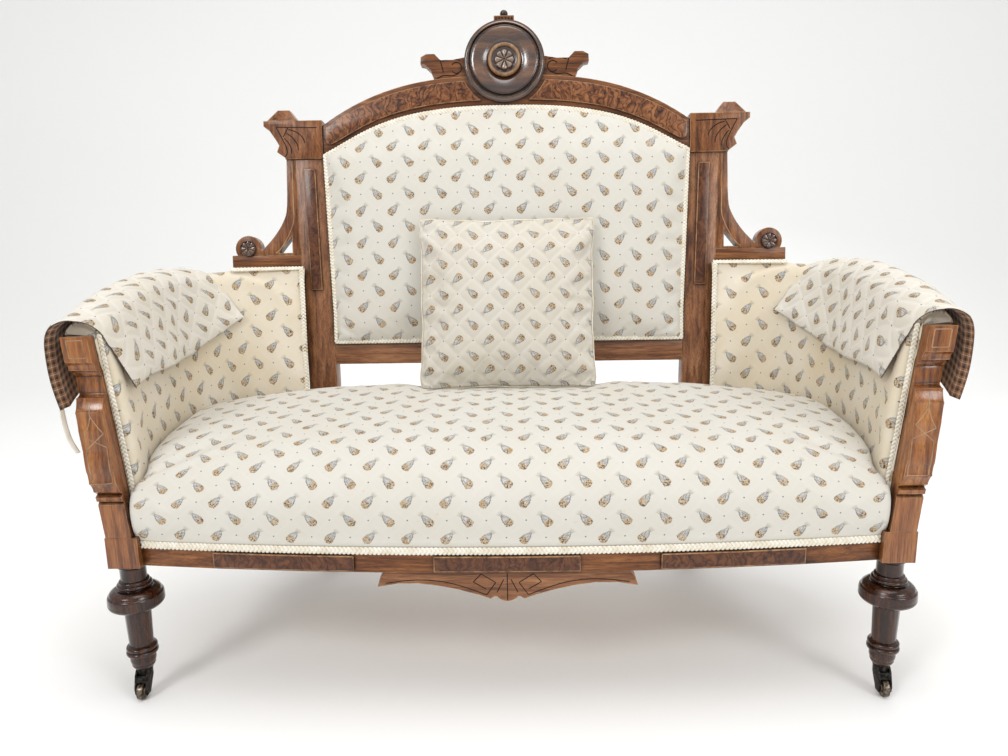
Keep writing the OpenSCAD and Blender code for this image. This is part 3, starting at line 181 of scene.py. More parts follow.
def walnutFinish(name, along, wood="", gloss=0.36, worn=0.0, shine=0.28):
    # walnut, sawn and planed, with an old oil and shellac finish: brown bands, dark pores, satin gloss
    material, put = startMaterial(name)
    tones = {**walnut, **dict(zip(("dark", "mid", "light", "band"), woods.get(wood, ())))}
    spot = put("TexCoord").outputs["Object"]
    long = [1000 / tones["band"]] * 3
    long[along] /= tones["stretch"]
    bands = noise(put, put("Mapping", spot, {"Scale": long}), 1.0, 6.0, 0.62, 0.7)
    fine = [1000 / tones["pore"]] * 3
    fine[along] /= tones["stretch"] * 1.5
    pores = noise(put, put("Mapping", spot, {"Scale": fine}), 1.0, 3.0, 0.6)
    colour = put("ValToRGB", bands, stops=[(0.30, tones["dark"]), (0.47, tones["mid"]),
                                           (0.72, tones["light"])])
    pitted = put("ValToRGB", pores, stops=[(0.36, "#6a5648"), (0.52, "#ffffff")])
    colour = put("MixRGB.MULTIPLY", 0.55, colour, pitted)
    broad = put("ValToRGB", noise(put, spot, 9.0, 2.0), stops=[(0.3, "#b39a88"), (0.7, "#ffffff")])
    colour = put("MixRGB.MULTIPLY", 0.5, colour, broad)
    # lighter rubbed patches: wear, and on the eased edges also a painted highlight
    if worn:
        rubbed = noise(put, spot, 45.0, 5.0, 0.7)
        rubbed = put("ValToRGB", rubbed, stops=[(0.38, "#000000"), (0.62, "#ffffff")])
        colour = put("MixRGB.MIX", put("Math.MULTIPLY", rubbed, worn), colour, "#b58d66")
    # old polish and painted shade: darker in corners and hollows, found by ambient occlusion
    corner = put("AmbientOcclusion", None, {"Distance": tones["grimeAndShadeReach"] / 1000}, samples=6)
    deep = put("Math.POWER", corner.outputs["AO"], 1.7)
    colour = put("MixRGB.MIX", deep, put("MixRGB.MULTIPLY", 0.85, colour, "#4a3428"), colour)
    rough = ramp(put, bands, 0.3, 0.7, gloss + 0.08, gloss - 0.04)
    closeMaterial(put, colour, rough, (0.22, 0.0006, pores), {
        "IOR": 1.5, "Specular IOR Level": shine, "Coat Weight": shine / 2, "Coat Roughness": gloss * 0.45})
    return material


def burlFinish(name, figure=0.75, tint="#ffffff"):
    # walnut burl veneer, sliced from a root and glued on: swirling dark figure under a glossier polish
    material, put = startMaterial(name)
    spot = put("TexCoord").outputs["Object"]
    shift = put("VectorMath.SCALE", noise(put, spot, 17.0, 3.0).outputs["Color"], {"Scale": 0.09})
    moved = put("VectorMath.ADD", spot, shift)
    swirl = noise(put, moved, 38.0, 9.0, 0.62, 1.6)
    colour = put("ValToRGB", swirl, stops=[(0.33, "#24140d"), (0.44, "#5c3419"), (0.56, "#8c5a35"),
                                           (0.74, "#a67246")])
    colour = put("MixRGB.MIX", 1 - figure, colour, "#6f4023")
    veins = put("TexWave", moved, {"Scale": 30.0, "Distortion": 9.0, "Detail": 4.0, "Detail Scale": 1.6})
    veins = put("ValToRGB", veins, stops=[(0.0, "#3b261b"), (0.16, "#c9b4a4"), (0.4, "#ffffff")])
    colour = put("MixRGB.MULTIPLY", figure, colour, veins)
    eyes = put("TexVoronoi", moved, {"Scale": 46.0})
    eyes = put("ValToRGB", eyes, stops=[(0.08, "#4a3022"), (0.26, "#ffffff")])
    colour = put("MixRGB.MULTIPLY", 0.6, colour, eyes)
    # painted shade: near-black in crevices and round the panels' edges, found by ambient occlusion
    corner = put("AmbientOcclusion", None, {"Distance": 0.006}, samples=6)
    colour = put("MixRGB.MIX", corner.outputs["AO"], "#1a0f0a", colour)
    colour = put("MixRGB.MULTIPLY", 1.0, colour, tint)
    closeMaterial(put, colour, 0.3, (0.15, 0.0005, swirl), {
        "IOR": 1.5, "Specular IOR Level": 0.32, "Coat Weight": 0.18, "Coat Roughness": 0.15})
    return material


cottonPrint = {
    "across": 64.0,       # mm from one bud to the next in a row
    "row": 31.7,          # mm from row to row
    "tilt": 42.0,         # degrees a bud leans, the other way in every second row
    "bud": 25.0,          # mm length of a bud
    "budWidth": 15.5,     # mm
    "dot": 1.25,          # mm radius of the small dots
    "seed": 2.5,          # mm between the tan seed dots
    "weave": 0.9,         # mm of drawn weave, for real threads of about 0.35 mm
}


def latticeGap(u, v):
    # millimetres from a place on the cloth, in metres, to the nearest line of its diamonds
    x, y = np.asarray(u) * 1000 / cottonPrint["across"], np.asarray(v) * 500 / cottonPrint["row"]
    near = [np.abs((t + 0.5) % 1 - 0.5) for t in (x + y - 0.25, x - y - 0.75)]
    return np.minimum(*near) * cottonPrint["across"] / math.sqrt(2)


def cottonFinish(name, ground="#d0cdc5", stain="#c8bfaa", stainAmount=0.3, diamonds=0.1):
    # roller-printed cotton: grey-blue buds with tan seed dots on a cream ground, faint woven diamonds
    material, put = startMaterial(name)
    size = cottonPrint
    spot = put("Attribute", attribute_name="clothMap").outputs["Vector"]
    flat = put("SeparateXYZ", spot)
    x = put("Math.MULTIPLY", flat.outputs[0], 1000 / size["across"])
    y = put("Math.MULTIPLY", flat.outputs[1], 1000 / size["row"])
    column, row = put("Math.FLOOR", x), put("Math.FLOOR", y)
    odd = put("Math.FLOORED_MODULO", row, 2.0)
    fx = put("Math.FRACT", put("Math.MULTIPLY_ADD", odd, 0.5, x))
    lx = put("Math.MULTIPLY", put("Math.SUBTRACT", fx, 0.5), size["across"])
    ly = put("Math.MULTIPLY", put("Math.SUBTRACT", put("Math.FRACT", y), 0.5), size["row"])
    lx = put("Math.MULTIPLY", lx, put("Math.MULTIPLY_ADD", odd, -2.0, 1.0))
    cosine, sine = math.cos(math.radians(size["tilt"])), math.sin(math.radians(size["tilt"]))
    p = put("Math.ADD", put("Math.MULTIPLY", ly, cosine), put("Math.MULTIPLY", lx, sine))
    q = put("Math.SUBTRACT", put("Math.MULTIPLY", lx, cosine), put("Math.MULTIPLY", ly, sine))
    half, wide = size["bud"] / 2, size["budWidth"] / 2
    # the bud: a drop shape, wide at its foot and drawn out to a tip
    s = put("Math.DIVIDE", p, half)
    arch = put("Math.SQRT", put("Math.MAXIMUM", put("Math.SUBTRACT", 1.0, put("Math.MULTIPLY", s, s)), 0.0))
    reach = put("Math.MULTIPLY", arch, put("Math.MULTIPLY_ADD", s, -0.33 * wide, 0.92 * wide))
    side = put("Math.ABSOLUTE", q)
    ragged = put("CombineXYZ", put("Math.MULTIPLY", q, 0.7), put("Math.MULTIPLY", p, 0.35), row)
    ragged = put("Math.MULTIPLY_ADD", noise(put, ragged, 1.0, 2.0), 4.4, -2.2)
    inside = put("Math.ADD", put("Math.SUBTRACT", reach, side), ragged)
    brush = put("CombineXYZ", put("Math.MULTIPLY", q, 0.9), put("Math.MULTIPLY", p, 0.16), column)
    petals = put("ValToRGB", noise(put, brush, 1.0, 2.0), stops=[(0.36, "#75767a"), (0.47, "#a3a3a2"),
                                                                (0.60, "#cdc9c0")])
    rimTone = put("MixRGB.MIX", ramp(put, q, -wide * 0.2, wide * 0.9, 0.35), "#a8a39a", "#6b6c70")
    petals = put("MixRGB.MIX", ramp(put, inside, 1.3, 2.6), rimTone, petals)
    # the ground, yellowed by age in places, with a few foxing spots
    aged = ramp(put, noise(put, spot, 7.0, 3.0, 0.6), 0.35, 0.75, 0.0, stainAmount)
    colour = put("MixRGB.MIX", aged, ground, stain)
    foxing = ramp(put, noise(put, spot, 75.0, 2.0), 0.70, 0.82, 0.0, 0.4)
    colour = put("MixRGB.MIX", foxing, colour, "#c39c6a")
    # a tuft of fine hairs that spreads from the tip
    spread = put("Math.MULTIPLY_ADD", put("Math.SUBTRACT", p, half * 0.55), 0.42, 1.5)
    fan = put("Math.DIVIDE", q, put("Math.MAXIMUM", spread, 1.0))
    fan = put("Math.SINE", put("Math.MULTIPLY", fan, 11.0))
    past = put("Math.ABSOLUTE", put("Math.SUBTRACT", p, half))
    tuft = put("Math.MULTIPLY", ramp(put, put("Math.SUBTRACT", spread, side), -0.6, 1.4),
               ramp(put, past, 6.5, 2.0))
    hair = put("Math.MULTIPLY", tuft, ramp(put, fan, -0.6, 0.9, 0.22, 0.62))
    colour = put("MixRGB.MIX", hair, colour, "#948b7c")
    colour = put("MixRGB.MIX", ramp(put, inside, 0.0, 0.8), colour, petals)
    # tan seed dots over and round the foot
    seeds = put("VectorMath.SCALE", spot, {"Scale": 1000 / size["seed"]})
    seeds = put("TexVoronoi", seeds, {"Scale": 1.0, "Randomness": 0.55})
    tone = put("SeparateColor", seeds.outputs["Color"])
    seedTone = put("ValToRGB", tone, stops=[(0.25, "#4f3c2b"), (0.5, "#8f6b40"), (0.8, "#b3925f")])
    near = put("Math.ADD", inside, ramp(put, p, -half * 0.1, -half * 0.7, -1.0, 1.6))
    foot = put("Math.MULTIPLY", ramp(put, p, 1.0, -3.2), ramp(put, near, 0.0, 0.6))
    foot = put("Math.MULTIPLY", foot, ramp(put, p, -half * 1.12, -half * 0.98))
    colour = put("MixRGB.MIX", put("Math.MULTIPLY", foot, 0.35), colour, "#cdb68e")
    seedDots = put("Math.MULTIPLY", ramp(put, seeds, 0.58, 0.44), foot)
    colour = put("MixRGB.MIX", seedDots, colour, seedTone)
    # a small dark dot halfway between two buds
    apart = put("Math.MULTIPLY", put("Math.MINIMUM", fx, put("Math.SUBTRACT", 1.0, fx)), size["across"])
    away = put("Math.ADD", put("Math.MULTIPLY", apart, apart), put("Math.MULTIPLY", ly, ly))
    dot = ramp(put, put("Math.SQRT", away), size["dot"] + 0.35, size["dot"] - 0.35, 0.0, 0.9)
    colour = put("MixRGB.MIX", dot, colour, "#4b4e55")
    # the diamonds of the weave, each with a slightly duller middle
    down = put("Math.MULTIPLY", y, 0.5)
    lines = []
    for direction, start in (("ADD", 0.25), ("SUBTRACT", 0.75)):
        t = put("Math.SUBTRACT", put("Math." + direction, x, down), start)
        wrapped = put("Math.FRACT", put("Math.ADD", t, 0.5))
        lines.append(put("Math.ABSOLUTE", put("Math.SUBTRACT", wrapped, 0.5)))
    lattice = ramp(put, put("Math.MINIMUM", *lines), 0.02, 0.10)
    shade = put("MixRGB.MIX", put("Math.MULTIPLY", lattice, diamonds), "#ffffff", "#f0ede7")
    colour = put("MixRGB.MULTIPLY", 1.0, colour, shade)
    threads = noise(put, put("VectorMath.SCALE", spot, {"Scale": 1000 / size["weave"]}), 1.0, 2.0)
    closeMaterial(put, colour, 0.85, (0.3, 0.0006, threads), {
        "IOR": 1.45, "Sheen Weight": 0.08, "Sheen Roughness": 0.5, "Specular IOR Level": 0.25})
    return material


def plaidFinish(name):
    # yarn-dyed plaid lining: brown ground, near-black bars and thin pale overchecks
    material, put = startMaterial(name)
    spot = put("Attribute", attribute_name="clothMap").outputs["Vector"]
    flat = put("SeparateXYZ", spot)
    colour = None
    for i, repeat in ((0, 15.0), (1, 12.0)):      # mm between bars
        run = put("Math.FRACT", put("Math.MULTIPLY", flat.outputs[i], 1000 / repeat))
        bars = put("ValToRGB", run, stops=[(0.0, "#1d1512"), (0.30, "#1d1512"), (0.36, "#b07d4e"),
                                           (0.58, "#94613a"), (0.64, "#eadfc8"), (0.72, "#94613a"),
                                           (0.96, "#7a4d30")])
        colour = put("MixRGB.MIX", 0.5, colour, bars) if colour else bars
    threads = noise(put, put("VectorMath.SCALE", spot, {"Scale": 1100.0}), 1.0, 2.0)
    closeMaterial(put, colour, 0.9, (0.4, 0.0006, threads), {"Sheen Weight": 0.15})
    return material


def clothFinish(name, base, deep, thread, grimeAndShadeReach=4.0):
    # plain woven or braided yarn: one colour with soft variation, with painted shade between the yarns and in
    # crevices
    material, put = startMaterial(name)
    spot = put("TexCoord").outputs["Object"]
    colour = put("ValToRGB", noise(put, spot, 60.0, 4.0), stops=[(0.35, deep), (0.6, base)])
    # painted shade: darker where ambient occlusion finds crevices
    corner = put("AmbientOcclusion", None, {"Distance": grimeAndShadeReach / 1000}, samples=6)
    shade = put("MixRGB.MULTIPLY", 0.9, colour, put("MixRGB.MULTIPLY", 0.5, deep, "#8f7f66"))
    colour = put("MixRGB.MIX", put("Math.POWER", corner.outputs["AO"], 2.0), shade, colour)
    yarn = noise(put, spot, 1000 / thread, 2.0)
    closeMaterial(put, colour, 0.9, (0.5, 0.0007, yarn), {"Sheen Weight": 0.1})
    return material


def metalFinish(name, base, worn, roughness):
    # cast or drawn metal with handling wear: darker skin, brighter where it rubs
    material, put = startMaterial(name)
    cloud = noise(put, put("TexCoord").outputs["Object"], 160.0, 5.0, 0.7)
    colour = put("ValToRGB", cloud, stops=[(0.42, base), (0.66, worn)])
    rough = ramp(put, cloud, 0.3, 0.7, roughness + 0.15, roughness)
    closeMaterial(put, colour, rough, (0.3, 0.0003, cloud), {"Metallic": 1.0})
    return material


finishes = {
    "walnutUpright": walnutFinish("walnut_upright", 2),
    "walnutAcross": walnutFinish("walnut_across", 0),
    "walnutDeep": walnutFinish("walnut_deep", 1),
    "walnutPost": walnutFinish("walnut_arm_post", 2, "orange", 0.2, shine=0.5),
    # painted light: a lighter copy of walnut for the back posts, the lower back rail and the apron
    "walnutPale": walnutFinish("walnut_painted_light_upright", 2, "paintedLight"),
    "walnutPaleAcross": walnutFinish("walnut_painted_light_across", 0, "paintedLight"),
    "medal": walnutFinish("polished_walnut_turning", 0, "medal", 0.13, shine=1.0),
    # painted sheen: the rosette's petals in a paler, greyer tone
    "medalPaintedSheen": walnutFinish("polished_walnut_petals_sheen", 0, "petals", 0.13, shine=0.8),
    "roundel": walnutFinish("polished_walnut_roundel", 0, "roundel", 0.13, shine=0.8),
    # the eased edges' rubbed wear, lighter also as a painted highlight
    "wornEdgeHighlight": walnutFinish("walnut_worn_edge_highlight", 2, "worn", 0.42, worn=0.8),
    "burl": burlFinish("walnut_burl_veneer"),
    "burlCalm": burlFinish("walnut_burl_veneer_dark", 0.55, "#c6bcb4"),
    "ebonised": walnutFinish("ebonised_walnut", 2, "ebonised", 0.11, shine=0.4),
    "incised": walnutFinish("walnut_incised_line", 2, "incised", 0.6),
    "oak": walnutFinish("oak_frame", 1, "oak", 0.6),
    "oakAcross": walnutFinish("oak_rail", 0, "oak", 0.6),
    "print": cottonFinish("printed_cotton"),
    "printArms": cottonFinish("printed_cotton_aged", "#dcd3c3", "#d3c29f", 0.72),
    "printQuilt": cottonFinish("quilted_printed_cotton", "#dad6ce", "#d2c8b2", 0.4, 0.45),
    # painted shade: a darker copy of the quilted cloth for the pillow, which the lamps light more
    "printPillowShaded": cottonFinish("quilted_printed_cotton_pillow_shaded", "#cfcbc2", "#c8bda7", 0.4, 0.45),
    "groovePale": clothFinish("dusty_incised_line", "#b89e80", "#98795a", 1.2, 0.3),
    "ringTan": walnutFinish("walnut_medallion_ring", 2, "ring", 0.3),
    "plaid": plaidFinish("plaid_lining"),
    "binding": clothFinish("dark_cover_binding", "#5b4334", "#3a2a20", 1.0),
    "welt": clothFinish("cotton_welt", "#e9e3d4", "#d6cbb4", 1.0, 2.0),
    "braid": clothFinish("gimp_braid", "#ebe6d9", "#dcd3bf", 1.4, 2.6),
    "jute": clothFinish("jute_webbing", "#b3936a", "#7f6341", 1.8),
    "iron": metalFinish("blacked_cast_iron", "#1b1a19", "#4b4742", 0.42),
    "steel": metalFinish("coppered_spring_steel", "#6b5a4c", "#a08a74", 0.35),
    "wheel": metalFinish("worn_brass_wheel", "#43372d", "#94887a", 0.3),
    "beech": walnutFinish("beech_dowel", 0, "beech", 0.6),
}
print("materials made:", len(finishes))


# Making and dressing meshes
bothSides = (("right", 1), ("left", -1))


def linked(name, data):
    made = bpy.data.objects.new(name, data)
    bpy.context.scene.collection.objects.link(made)
    return made


def makePiece(name, points, faces, materials, clothMap=None, smooth=True, faceMaterials=None):
    mesh = bpy.data.meshes.new(name)
    mesh.from_pydata(np.asarray(points, float).reshape(-1, 3).tolist(), [], faces)
    for material in materials:
        mesh.materials.append(material)
    mesh.polygons.foreach_set("use_smooth", [smooth] * len(mesh.polygons))
    if faceMaterials is not None:
        mesh.polygons.foreach_set("material_index", faceMaterials)
    if clothMap is not None:
        spots = mesh.attributes.new("clothMap", "FLOAT_VECTOR", "POINT")
        flat = np.asarray(clothMap, np.float32).reshape(-1, 2)
        spots.data.foreach_set("vector", np.column_stack([flat, np.zeros(len(flat), np.float32)]).ravel())
    mesh.update()
    return linked(name, mesh)


def gridFaces(rows, cols, start=0, flip=False, wrap=False):
    # quads between the points of a grid, with its columns joined round if it wraps
    faces = []
    for r in range(rows - 1):
        for c in range(cols if wrap else cols - 1):
            d = (c + 1) % cols
            quad = [r * cols + c, r * cols + d, (r + 1) * cols + d, (r + 1) * cols + c]
            quad = [start + i for i in quad]
            faces.append(quad[::-1] if flip else quad)
    return faces


def rimOf(rows, cols, start=0):
    # the point numbers round the edge of a grid
    return [*range(start, start + cols), *[start + r * cols + cols - 1 for r in range(1, rows)],
            *[start + (rows - 1) * cols + c for c in range(cols - 2, -1, -1)],
            *[start + r * cols for r in range(rows - 2, 0, -1)]]


def shellFaces(rows, cols, flip=False):
    # two grids of points, one behind the other, with a band of quads round their edge
    count, rim = rows * cols, rimOf(rows, cols)
    band = [[a, b, count + b, count + a] if flip else [b, a, count + a, count + b]
            for a, b in zip(rim, rim[1:] + rim[:1])]
    return gridFaces(rows, cols, flip=flip) + gridFaces(rows, cols, start=count, flip=not flip) + band


def tubeFaces(rings, sides):
    # quads along a tube of rings of points, and its two ends
    return [*gridFaces(rings, sides, wrap=True), list(range(sides))[::-1],
            [(rings - 1) * sides + k for k in range(sides)]]


def loopFaces(rings, sides):
    # quads over rings of points that join up in a closed loop
    return [[i % (rings * sides) for i in quad] for quad in gridFaces(rings + 1, sides, flip=True, wrap=True)]


def prismFaces(count):
    # a block between two outlines of so many points each
    band = [[k, (k + 1) % count, count + (k + 1) % count, count + k] for k in range(count)]
    return [list(range(count)), list(range(2 * count - 1, count - 1, -1)), *band]


def pointsOf(piece):
    spots = np.zeros(len(piece.data.vertices) * 3, np.float32)
    piece.data.vertices.foreach_get("co", spots)
    return spots.reshape(-1, 3).astype(float)


def setPoints(piece, spots):
    piece.data.vertices.foreach_set("co", np.asarray(spots, np.float32).ravel())
    piece.data.update()


def outwardFaces(piece):
    # turns every face of a closed piece outwards
    shape = bmesh.new()
    shape.from_mesh(piece.data)
    bmesh.ops.recalc_face_normals(shape, faces=shape.faces)
    shape.to_mesh(piece.data)
    shape.free()


def dress(piece, body, slot, *replaced):
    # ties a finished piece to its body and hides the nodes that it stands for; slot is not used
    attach(piece, body)
    if replaced:
        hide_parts(*replaced)
    return piece


def stacked(*grids):
    # the points of several grids, one grid after the other
    return np.concatenate([grid.reshape(-1, grid.shape[-1]) for grid in grids])


def applyModifiers(piece):
    graph = bpy.context.evaluated_depsgraph_get()
    graph.update()
    mesh = bpy.data.meshes.new_from_object(piece.evaluated_get(graph))
    piece.modifiers.clear()
    piece.data = mesh


def plump(piece, recipe, held):
    # soft pressure from inside for 20 frames, each point kept within recipe["cap"] mm of where it began
    rest = pointsOf(piece)
    group = piece.vertex_groups.new(name="held")
    group.add([int(i) for i in held], 1.0, "REPLACE")
    cloth = piece.modifiers.new("plump", "CLOTH")
    cloth.settings.vertex_group_mass = "held"
    cloth.settings.use_pressure = True
    cloth.settings.uniform_pressure_force = recipe["pressure"]
    cloth.settings.effector_weights.gravity = 0
    cloth.settings.quality = 4
    cloth.settings.tension_stiffness = recipe.get("tension", 30)
    cloth.settings.compression_stiffness = recipe.get("tension", 30)
    cloth.settings.bending_stiffness = recipe.get("bending", 0.4)
    cloth.settings.shrink_min = -recipe.get("spare", 0.0)
    cloth.point_cache.frame_start = 1
    cloth.point_cache.frame_end = 20
    scene = bpy.context.scene
    for step in range(1, 21):
        scene.frame_set(step)
    graph = bpy.context.evaluated_depsgraph_get()
    full = piece.evaluated_get(graph).to_mesh()
    spots = np.array([v.co for v in full.vertices], float)
    piece.evaluated_get(graph).to_mesh_clear()
    piece.modifiers.remove(cloth)
    piece.vertex_groups.clear()
    scene.frame_set(1)
    move = spots - rest
    far = np.linalg.norm(move, axis=1, keepdims=True)
    cap = recipe["cap"] / 1000
    move *= np.where(far > 0, cap * np.tanh(far / cap) / np.maximum(far, 1e-9), 1)
    setPoints(piece, rest + move)
    furthest = float(np.linalg.norm(move, axis=1).max()) * 1000
    print("  plumped", piece.name, "by up to", round(furthest, 1), "mm")


def bevelSharp(shape, width, angle, material):
    # eases the sharp outward edges of an open mesh by so many millimetres
    sharp = [e for e in shape.edges if e.calc_face_angle(0) > math.radians(angle) and e.is_convex]
    bmesh.ops.bevel(shape, geom=sharp, offset=width / 1000, offset_type="OFFSET", segments=2, profile=0.6,
                    affect="EDGES", clamp_overlap=True, material=material)


def softened(node, name, material, edge, wornEdgeHighlight=None):
    # a copy of a rigid node with its sharp edges eased, and the eased edges rubbed lighter: wear, and a
    # painted highlight
    shape = bmesh.new()
    shape.from_mesh(nodes[node].data)
    bmesh.ops.remove_doubles(shape, verts=shape.verts, dist=0.00003)
    bmesh.ops.dissolve_limit(shape, angle_limit=math.radians(1.0), verts=shape.verts, edges=shape.edges)
    bmesh.ops.recalc_face_normals(shape, faces=shape.faces)
    for face in shape.faces:
        face.material_index = 0
        face.smooth = True
    bevelSharp(shape, edge, 28, 1 if wornEdgeHighlight else 0)
    mesh = bpy.data.meshes.new(name)
    shape.to_mesh(mesh)
    shape.free()
    for finish in (material, wornEdgeHighlight or material):
        mesh.materials.append(finish)
    piece = linked(name, mesh)
    mesh.set_sharp_from_angle(angle=math.radians(32))
    return piece


def tube(line, radius, sides=6):
    # points and faces of a closed tube along a line of points
    line = np.asarray(line, float)
    ahead = np.gradient(line, axis=0)
    ahead /= np.maximum(np.linalg.norm(ahead, axis=1, keepdims=True), 1e-9)
    up = np.array([0.13, -1.0, 0.21]) / np.linalg.norm([0.13, -1.0, 0.21])
    across = np.cross(ahead, up)
    across /= np.maximum(np.linalg.norm(across, axis=1, keepdims=True), 1e-9)
    lift = np.cross(across, ahead)
    turn = np.arange(sides) * 2 * math.pi / sides
    ring = np.cos(turn)[None, :, None] * across[:, None] + np.sin(turn)[None, :, None] * lift[:, None]
    points = line[:, None] + radius * ring
    return points.reshape(-1, 3), tubeFaces(len(line), sides)


def engrave(piece, lines, radius, tint="incised"):
    # cuts fine round grooves into a piece along the lines, and darkens them as old polish does
    tool = bmesh.new()
    for line in lines:
        points, faces = tube(line, radius / 1000)
        made = [tool.verts.new(p) for p in points]
        for face in faces:
            tool.faces.new([made[i] for i in face])
    bmesh.ops.recalc_face_normals(tool, faces=tool.faces)
    mesh = bpy.data.meshes.new("graver")
    tool.to_mesh(mesh)
    tool.free()
    cutter = linked("graver", mesh)
    mesh.materials.append(finishes[tint])
    cut = piece.modifiers.new("engrave", "BOOLEAN")
    cut.operation = "DIFFERENCE"
    cut.solver = "EXACT"
    cut.use_self = True
    cut.material_mode = "TRANSFER"
    cut.object = cutter
    before = len(piece.data.vertices)
    applyModifiers(piece)
    bpy.data.objects.remove(cutter)
    print("  engraved", piece.name, before, "to", len(piece.data.vertices), "points")


# Camera, light and stage
camera = {
    "place": (22.0, -1102.0, 740.0),   # mm from the front leg axis
    "pitch": 11.38, "yaw": 1.19, "roll": -0.95,   # degrees
    "focal": 757.0, "frameWidth": 1008.0,         # pixels of the photograph
}
cameraData = bpy.data.cameras.new("camera")
cameraData.sensor_width = 36.0
cameraData.lens = camera["focal"] / camera["frameWidth"] * cameraData.sensor_width
cameraObject = linked("camera", cameraData)
cameraObject.matrix_world = (Matrix.Translation(place(camera["place"]).tolist())
                             @ Matrix.Rotation(math.radians(camera["yaw"]), 4, "Z")
                             @ Matrix.Rotation(math.radians(90 - camera["pitch"]), 4, "X")
                             @ Matrix.Rotation(math.radians(camera["roll"]), 4, "Z"))
bpy.context.scene.camera = cameraObject

studio = {
    "key": ((-1.9, -2.6, 2.6), 0.9, 38.0),     # place in metres, size, watts
    "fill": ((2.1, -2.3, 1.9), 1.1, 24.5),
    "top": ((0.2, -0.3, 3.1), 2.0, 35.0),
    "back": ((0.6, 2.6, 2.2), 2.4, 16.0),
    "sky": 0.70,
}
for lampName in ("key", "fill", "top", "back"):
    spot, size, watts = studio[lampName]
    lamp = bpy.data.lights.new(lampName, "AREA")
    lamp.size = size
    lamp.energy = watts
    lampObject = linked(lampName, lamp)
    lampObject.location = spot
    lampObject.rotation_euler = (Vector((0, 0, 0.5)) - Vector(spot)).to_track_quat("-Z", "Y").to_euler()
sky = bpy.data.worlds.new("studio")
sky.use_nodes = True
sky.node_tree.nodes["Background"].inputs["Color"].default_value = linear("#ffffff")
sky.node_tree.nodes["Background"].inputs["Strength"].default_value = studio["sky"]
bpy.context.scene.world = sky
bpy.context.scene.view_settings.view_transform = "Standard"   # keeps the paper white, as in the photograph

stage = {"width": 16.0, "near": -7.0, "far": 3.6, "bend": 1.6, "height": 6.0}   # metres
sweep = [(stage["near"], 0.0), (stage["far"] - stage["bend"], 0.0)]
sweep += [(stage["far"] - stage["bend"] + stage["bend"] * math.sin(t), stage["bend"] * (1 - math.cos(t)))
          for t in np.linspace(0.1, math.pi / 2, 14)]
sweep.append((stage["far"], stage["height"]))
floorPoints = [(x, y, z) for y, z in sweep for x in (-stage["width"] / 2, stage["width"] / 2)]
paper, put = startMaterial("matt_paper_sweep")
paperTone = put("ValToRGB", noise(put, None, 3.0, 4.0), stops=[(0.3, "#f8f8f7"), (0.7, "#fbfbfa")])
put("OutputMaterial", put("BsdfPrincipled", {"Base Color": paperTone, "Roughness": 0.9}))
floor = makePiece("floor", floorPoints, gridFaces(len(sweep), 2, flip=True), [paper])
print("camera, light and stage placed")


# Upholstered back
backPad = {
    # mm: flat rim, swell just inside the gimp, how quickly that rises and from how far in
    "edge": 5.0, "roll": 9.0, "rollReach": 7.0, "rollFrom": 5.0,
    "crown": 13.0,        # mm more at the middle
    "depth": 10.0,        # mm of the pad behind the frame's face
    "cols": 118, "rows": 84,
    "sim": {"pressure": 2.0, "cap": 5, "spare": 0.012},
}
opening = {               # mm: the back posts' inner sides, and up the slope
    "postIn": 353.0, "postStep": 14.0, "postLow": 430.0, "postTop": 884.0,
    "railTop": 511.0, "archLow": 982.0, "archFall": 90.0,
    "archShares": [(0, 0), (0.655, -0.03), (0.777, 0.58), (1, 1)],
    "inset": 0.5,
}


def postInner(h):
    up = (h - opening["postLow"]) / (opening["postTop"] - opening["postLow"])
    return opening["postIn"] + opening["postStep"] * up


t = np.linspace(0, 1, 60)[:, None]
a, b, c, d = (np.array(q, float) for q in opening["archShares"])
archCurve = (1 - t) ** 3 * a + 3 * (1 - t) ** 2 * t * b + 3 * (1 - t) * t * t * c + t ** 3 * d
archCurve = archCurve * (postInner(opening["postTop"]), opening["archFall"])


def archLower(x):
    return opening["archLow"] - np.interp(np.abs(x), archCurve[:, 0], archCurve[:, 1])


def backSpot(a, b, inset):
    # a place inside the opening: a from -1 to 1 across, b from 0 to 1 up
    low = opening["railTop"] + inset
    wider = postInner(opening["postTop"]) - opening["postIn"]
    x = a * (opening["postIn"] + wider * np.maximum(b, 0.15) - inset)
    high = archLower(x) - inset
    return x, low + (high - low) * b


a, b = np.meshgrid(np.linspace(-1, 1, backPad["cols"]), np.linspace(0, 1, backPad["rows"]))
a = np.sin(a * math.pi / 2) * 0.25 + a * 0.75
b = b * 0.75 + (1 - np.cos(b * math.pi)) / 2 * 0.25
x, h = backSpot(a, b, opening["inset"])
edgeX = (1 - np.abs(a)) * opening["postIn"]
edgeH = np.minimum(b, 1 - b) * (opening["archLow"] - opening["railTop"])
rimAway = np.minimum(edgeX, edgeH)
swell = backPad["roll"] * (1 - np.exp(-np.maximum(rimAway - backPad["rollFrom"], 0) / backPad["rollReach"]))
swell += backPad["crown"] * (1 - np.abs(a) ** 3) * (1 - np.abs(2 * b - 1) ** 3)
front = np.stack([x, -(backPad["edge"] + swell), h], axis=-1).reshape(-1, 3)
count = len(front)
rim = rimOf(backPad["rows"], backPad["cols"])
backRim = front[rim]
backRim[:, 1] = backPad["depth"]
faces = gridFaces(backPad["rows"], backPad["cols"])
rimBack = [count + i for i in range(len(rim))]
faces += [[rim[(i + 1) % len(rim)], rim[i], rimBack[i], rimBack[(i + 1) % len(rim)]] for i in range(len(rim))]
faces.append(rimBack)
points = np.concatenate([front, backRim])
cloth = points[:, [0, 2]] / 1000
piece = makePiece("back_cushion", onBack(points), faces, [finishes["print"]], cloth)
held = np.concatenate([np.flatnonzero(rimAway.ravel() < 6), np.arange(count, len(points))])
